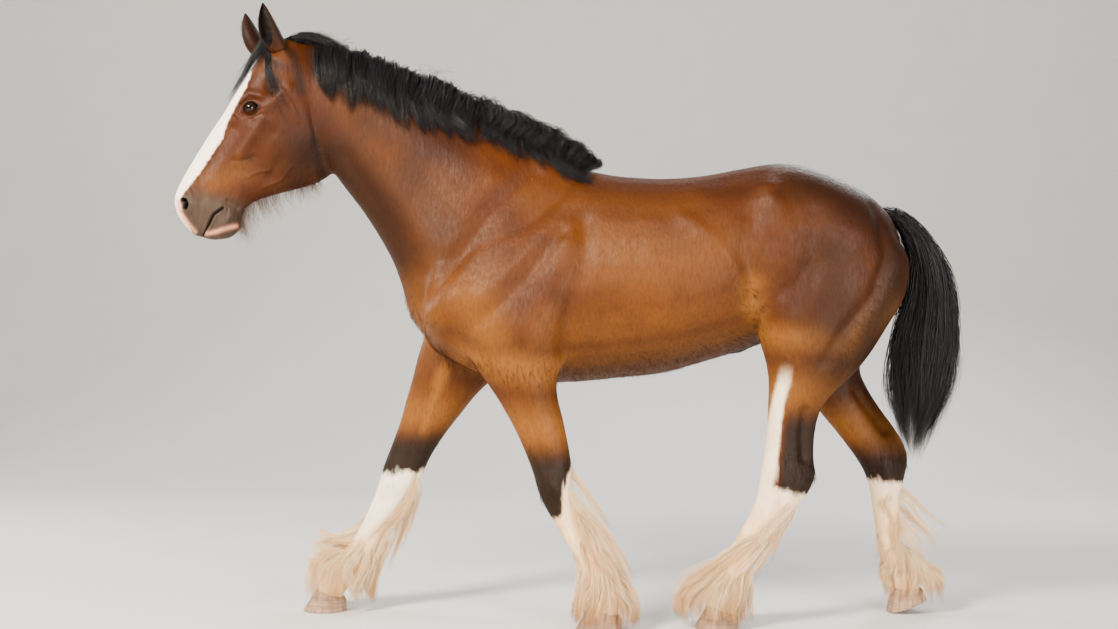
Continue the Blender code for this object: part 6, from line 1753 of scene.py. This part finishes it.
def ear_hair_guides(side):
    """Soft hair along the inside edges of an ear."""
    _, axis, opening, across = ear_axes(side)
    turn = head_turn()
    guides, places = [], []
    for i in range(EAR_HAIRS):
        t = RANDOM.uniform(0.14, 0.86)
        edge = 1 if i % 2 else -1
        gap = ear_measure(t, 3)
        root = ear_point(side, t, edge * (gap + RANDOM.uniform(0.02, 0.5)))
        inward = (-across * edge * 0.8 + opening * 0.35 + axis.normalized() * 0.8).normalized()
        size = RANDOM.uniform(0.012, 0.028) * (1.1 - 0.5 * t)
        tip = root + inward * size + axis * 0.02
        guides.append([turn @ p for p in (root, root + inward * size * 0.5, tip)])
        places.append((0.04 + 0.9 * t, 0.5 + 0.3 * edge))
    return guides, np.array(places)


# Short coat: tufts that lie along the body, standing off a little where the form breaks
SHORT_TUFTS = 5000
TUFT_POINTS = 5
TUFT_HALF = 0.0005
TUFT_ROOT = 0.0012
# Side-view lines where it breaks, with the width, and how strongly each counts
SHORT_BREAKS = (
    (((-0.42, 1.02), (-0.20, 0.97), (0.10, 0.99), (0.40, 1.02), (0.66, 1.10)), 0.035, 1),
    (((0.66, 1.30), (0.68, 1.12)), 0.035, 1),
    (((-0.66, 1.26), (-0.56, 1.08), (-0.46, 0.98)), 0.035, 1),
    (((-1.40, 1.52), (-1.20, 1.62), (-1.02, 1.74)), 0.030, 1),
    (((0.80, 0.66), (0.90, 0.60)), 0.040, 1),
    (((1.22, 0.60), (1.33, 0.62)), 0.040, 1),
    (((-0.12, 0.52), (0.00, 0.52)), 0.040, 1),
    (((-0.76, 0.52), (-0.62, 0.50)), 0.040, 1),
    (((1.18, 1.30), (1.02, 1.08), (0.98, 0.94)), 0.030, 1),
)


def lie(co):
    """The way the coat lies at each point."""
    flow = np.tile([0.80, 0.0, -0.60], (len(co), 1))
    leg = (1 - step(co[:, 2], 0.98, 1.14))[:, None]
    flow = flow * (1 - leg) + np.array([0.12, 0, -1.0]) * leg
    neck = (step(-co[:, 0], 0.35, 0.75) * step(co[:, 2], 1.3, 1.45))[:, None]
    flow = flow * (1 - neck) + np.array([0.45, 0, -0.85]) * neck
    head = on_the_head(co)[:, None]
    return flow * (1 - head) + np.array([-0.30, 0, -0.95]) * head


def short_coat(obj, values):
    """Many short tufts over the skin, more of them where it folds, with the skin's own colours."""
    mesh = obj.data
    mesh.calc_loop_triangles()
    co, normals = mesh_arrays(mesh)
    corners = np.empty(len(mesh.loop_triangles) * 3, np.int32)
    mesh.loop_triangles.foreach_get("vertices", corners)
    corners = corners.reshape(-1, 3)
    a, b, c = (co[corners[:, i]] for i in range(3))
    area = np.linalg.norm(np.cross(b - a, c - a), axis=1) / 2
    middle = (a + b + c) / 3
    breaks = along_paths(middle, SHORT_BREAKS)
    low = 1 - step(middle[:, 2], 0.62, 0.80)
    weight = area * (0.02 + 3.0 * breaks + 0.6 * low)
    local = to_head(middle)
    weight *= np.where(np.linalg.norm(mirrored(local) - EYE, axis=1) < CLOSE_EYE, 0.0, 1.0)
    weight *= np.where(on_the_head(middle) * (local[:, 2] < 1.68) > 0, 0.15, 1.0)
    chosen = RANDOM.choice(len(weight), SHORT_TUFTS, p=weight / weight.sum())
    mix = RANDOM.dirichlet((1, 1, 1), SHORT_TUFTS)
    root = (co[corners[chosen]] * mix[..., None]).sum(1)
    normal = (normals[corners[chosen]] * mix[..., None]).sum(1)
    normal /= np.linalg.norm(normal, axis=1, keepdims=True)
    flow = lie(root) + RANDOM.normal(0, 0.12, (SHORT_TUFTS, 3))
    flow -= normal * (flow * normal).sum(1, keepdims=True)
    flow /= np.linalg.norm(flow, axis=1, keepdims=True) + 1e-9
    long = RANDOM.uniform(0.012, 0.022, SHORT_TUFTS) * (1 + 0.9 * breaks[chosen]) * (1 + 0.4 * low[chosen])
    long *= 1 - 0.45 * on_the_head(root)
    lift = 0.0022 + 0.004 * breaks[chosen]
    t = np.linspace(0, 1, TUFT_POINTS)
    curve = np.clip(np.sin(t * 1.9) / math.sin(1.9), 0, 1.2)
    off = lift[:, None] * curve[None, :] - TUFT_ROOT * (t[None, :] < 0.1)
    paths = root[:, None] + flow[:, None] * (long[:, None, None] * t[None, :, None])
    paths += normal[:, None] * off[..., None]
    u = 0.02 + 0.95 * (root[:, 0] + 1.62) / 3.1
    v = (0.02 + 0.95 * root[:, 2] / 2.4) / 2 + np.where(root[:, 1] > 0, 0.5, 0.0)
    wide = np.full(SHORT_TUFTS, TUFT_HALF)
    made = strand_mesh("short_coat", paths, wide, np.column_stack([u, v]), RANDOM.random(SHORT_TUFTS))
    for name, field in values.items():
        at_root = (field[corners[chosen]] * mix).sum(1)
        add_values(made.data, name, np.repeat(at_root, strand_corners(TUFT_POINTS)))
    return made


def feather_look():
    """White at the root, cream towards the tip, muddy brown near the floor, black where it grows from black.
    """
    look = Look("feather_hair", 0.55, 0.24)
    colour = look.mix(look.value("along"), FEATHER_ROOT, FEATHER_TIP)
    colour = look.mix(look.value("shade"), colour, FEATHER_BRIGHT)
    colour = look.mix(look.height(0.0, FEATHER_LOW), FEATHER_MUDDY, colour)
    colour = look.mix(look.value("black"), colour, BLACK_HAIR)
    look.colour(colour)
    return look.material


def build_feather(name, tree):
    """The long hair of one lower leg; its strands know whether they grow from black hair."""
    guides, places = feather_guides(name, tree)
    roots = np.array([list(guide[1]) for guide in guides])
    white, black, *_ = markings(roots, np.tile([0.0, LEG_SIDE[name], 0.0], (len(roots), 1)))
    obj = hair_piece(name + "_feather", (guides, places), FEATHER_STRANDS, 0.00060, (0.008, 0.006, 0.003),
                     FEATHER_POINTS, tree, short=0.90, group=FEATHER_CLUMPS)
    per = FEATHER_STRANDS * strand_corners(FEATHER_POINTS)
    add_values(obj.data, "black", np.repeat(black * (1 - white), per))
    return obj


def build_dock():
    """The fleshy core that the tail's hair grows from."""
    bm = bmesh.new()
    ribs = []
    for rib in TAIL[:10]:
        front, back = Vector(rib.front), Vector(rib.back)
        ribs.append(Rib(tuple(front.lerp(back, 0.22)), tuple(front.lerp(back, 0.78)), rib.half * 0.56))
    loft(bm, ribs, 1, 24, 3)
    obj = object_from(bm, "tail_dock")
    for name in ("along", "shade"):
        add_values(obj.data, name, np.zeros(len(obj.data.vertices)))
    return obj


# The horse is put together piece by piece, each in place of its solids
body = build_skin()
surface = surface_of(body)
coat_values = {name: read_values(body.data, name) for name in COAT_VALUES}
dress(short_coat(body, coat_values), skin_look("short_fur", False), ())

# Mane, poll and forelock: strands a clump, half width, spread at root, middle and tip, points along
mane_hair = hair_look("mane_hair", BLACK_ROOT, MANE_TIP, MANE_SHEEN, 0.36, 0.45)
pieces = [
    ("mane_front", mane_guides(surface, 0.075, 0.52), MANE_STRANDS, 0.0008, (0.007, 0.006, 0.004), 10),
    ("mane_back", mane_guides(surface, 0.48, 1.0), MANE_STRANDS, 0.0008, (0.007, 0.007, 0.005), 10),
    ("mane_wisps", wisp_guides(surface), 4, 0.0006, (0.006, 0.010, 0.016), 8),
    ("poll_hair", poll_guides(surface), 11, 0.0007, (0.006, 0.008, 0.008), 8),
    ("forelock", forelock_guides(surface), 13, 0.0007, (0.006, 0.006, 0.005), 10),
    ("temple_wisps", temple_guides(surface), 4, 0.0006, (0.006, 0.006, 0.005), 8),
]
for piece in pieces:
    made = hair_piece(*piece, surface, short=0.86, curl=0.002, group=MANE_CLUMPS)
    dress(made, mane_hair, ())

# Tail
tail_hair = hair_look("tail_hair", BLACK_ROOT, TAIL_TIP, TAIL_SHEEN, 0.36, 0.42)
for name, nodes in (("tail_near", ["tail"]), ("tail_off", [])):
    made = hair_piece(name, tail_guides(), TAIL_STRANDS, 0.0010, (0.006, 0.008, 0.005), 12,
                      short=0.92, curl=0.007, group=TAIL_CLUMPS)
    dress(made, tail_hair, nodes)
dress(build_dock(), tail_hair, ())

# Feather
feather_hair = feather_look()
for name in FEATHERS:
    dress(build_feather(name, surface), feather_hair, ())

# Thin hair of jaw, belly, lips, lids and ears
chin_hair = hair_look("chin_hair", CHIN_ROOT, CHIN_TIP, CHIN_STREAK, 0.50, 0.30)
jaw = fringe_guides(surface, JAW_LINE, 330, 0.175, 0.20, 0.020, head_turn())
belly = fringe_guides(surface, BELLY_LINE, 150, 0.024, 0.6, 0.05)
fringes = [("jaw_hair", jaw, 3, 0.00032, (0.004, 0.010, 0.018), 8),
           ("belly_hair", belly, 3, 0.00035, (0.003, 0.003, 0.005), 6),
           ("whiskers", whisker_guides(surface), 1, 0.00035, (0.0, 0.0, 0.0), 6)]
for side, word in SIDE_WORDS.items():
    fringes.append(("lashes_" + word, lash_guides(side), 2, 0.00035, (0.0008, 0.001, 0.0015), 6))
    fringes.append(("ear_hair_" + word, ear_hair_guides(side), 4, 0.0004, (0.002, 0.003, 0.004), 6))
for fringe in fringes:
    made = hair_piece(*fringe, curl=0.001)
    dress(made, chin_hair if fringe[0] == "jaw_hair" else mane_hair, ())

# Skin, eyes, ears and hooves
leg_nodes = [f"{words}_{part}" for words in LEG_WORDS.values() for part in ("upper", "lower")]
dress(body, skin_look("horse_coat", True), ["head", "neck", "torso", *leg_nodes])
eye_material = eye_look()
ear_material = ear_look()
for side, word in SIDE_WORDS.items():
    dress(build_eye(side, "eyeball_" + word), eye_material, ["eye_" + word])
    dress(build_ear(side, "ear_shell_" + word), ear_material, ["ear_" + word])
horn = horn_look()
for name, words in LEG_WORDS.items():
    dress(build_hoof(name), horn, [words + "_hoof"])

# Floor, backdrop, light and the photo's own camera
CAMERA_AT = (-0.0588 + ORIGIN_X, -6.5, 1.2118)
CAMERA_PITCH = -0.1556
LENS = 53.37
SENSOR = 36
# Half the floor's width, how far off it curves up, and with how many steps
FLOOR = 40.0
SWEEP = 4.5
SWEEP_STEPS = 72
PAPER_DARK = (0.70, 0.69, 0.67)
PAPER_LIGHT = (0.74, 0.73, 0.71)
SKY = (0.97, 0.96, 0.97, 1)
SKY_STRENGTH = 0.41
# Each lamp's place, what it is aimed at, size, watts and colour
LAMPS = {
    "key": ((-4.2, -5.0, 5.4), (0, 0, 1.2), 2.4, 980, (1.0, 0.94, 0.84)),
    "fill": ((4.0, -6.5, 2.2), (0.2, 0, 0.7), 4.0, 500, (1.0, 0.97, 0.93)),
    "back": ((3.0, 5.0, 5.2), (0, 0, 1.4), 3.0, 240, (0.95, 0.98, 1.0)),
    "face": ((-5.4, 3.0, 3.6), (-1.2, 0, 1.8), 2.5, 180, (1.0, 0.98, 0.95)),
}


def build_backdrop():
    """A sheet of paper that lies under the horse and curves up behind it."""
    paper = Look("studio_paper", 0.85, 0.2)
    paper.colour(paper.mix(paper.noise(3.0, 2.0), PAPER_DARK, PAPER_LIGHT))
    profile = [(-FLOOR, -0.001), (SWEEP, -0.001)]
    for turn in np.linspace(0.02, math.pi / 2, SWEEP_STEPS):
        profile.append((SWEEP * (1 + math.sin(turn)), SWEEP * (1 - math.cos(turn)) - 0.001))
    profile.append((2 * SWEEP, FLOOR))
    bm = bmesh.new()
    rows = [[bm.verts.new((x, y, z)) for x in (-FLOOR, FLOOR)] for y, z in profile]
    for a, b in zip(rows, rows[1:]):
        bm.faces.new((a[0], a[1], b[1], b[0]))
    obj = object_from(bm, "backdrop")
    obj.data.materials.append(paper.material)
    obj.data.shade_smooth()
    return obj


def lamp(name, at, aim, size, power, colour):
    """A round soft light for the scene, turned to its aim."""
    data = bpy.data.lights.new(name, "AREA")
    data.shape = "DISK"
    data.size = size
    data.energy = power
    data.color = colour
    made = bpy.data.objects.new(name, data)
    bpy.context.scene.collection.objects.link(made)
    made.location = at
    made.rotation_euler = (Vector(aim) - Vector(at)).to_track_quat("-Z", "Y").to_euler()


backdrop = build_backdrop()
for name, values in LAMPS.items():
    lamp(name, *values)
world = bpy.data.worlds.new("studio")
world.use_nodes = True
sky = world.node_tree.nodes["Background"]
sky.inputs["Color"].default_value = SKY
sky.inputs["Strength"].default_value = SKY_STRENGTH
bpy.context.scene.world = world
bpy.context.scene.view_settings.look = "AgX - Medium High Contrast"
camera = bpy.data.objects.new("camera", bpy.data.cameras.new("camera"))
bpy.context.scene.collection.objects.link(camera)
camera.location = CAMERA_AT
camera.rotation_euler = (math.radians(90 + CAMERA_PITCH), 0, 0)
camera.data.lens = LENS
camera.data.sensor_width = SENSOR
bpy.context.scene.camera = camera
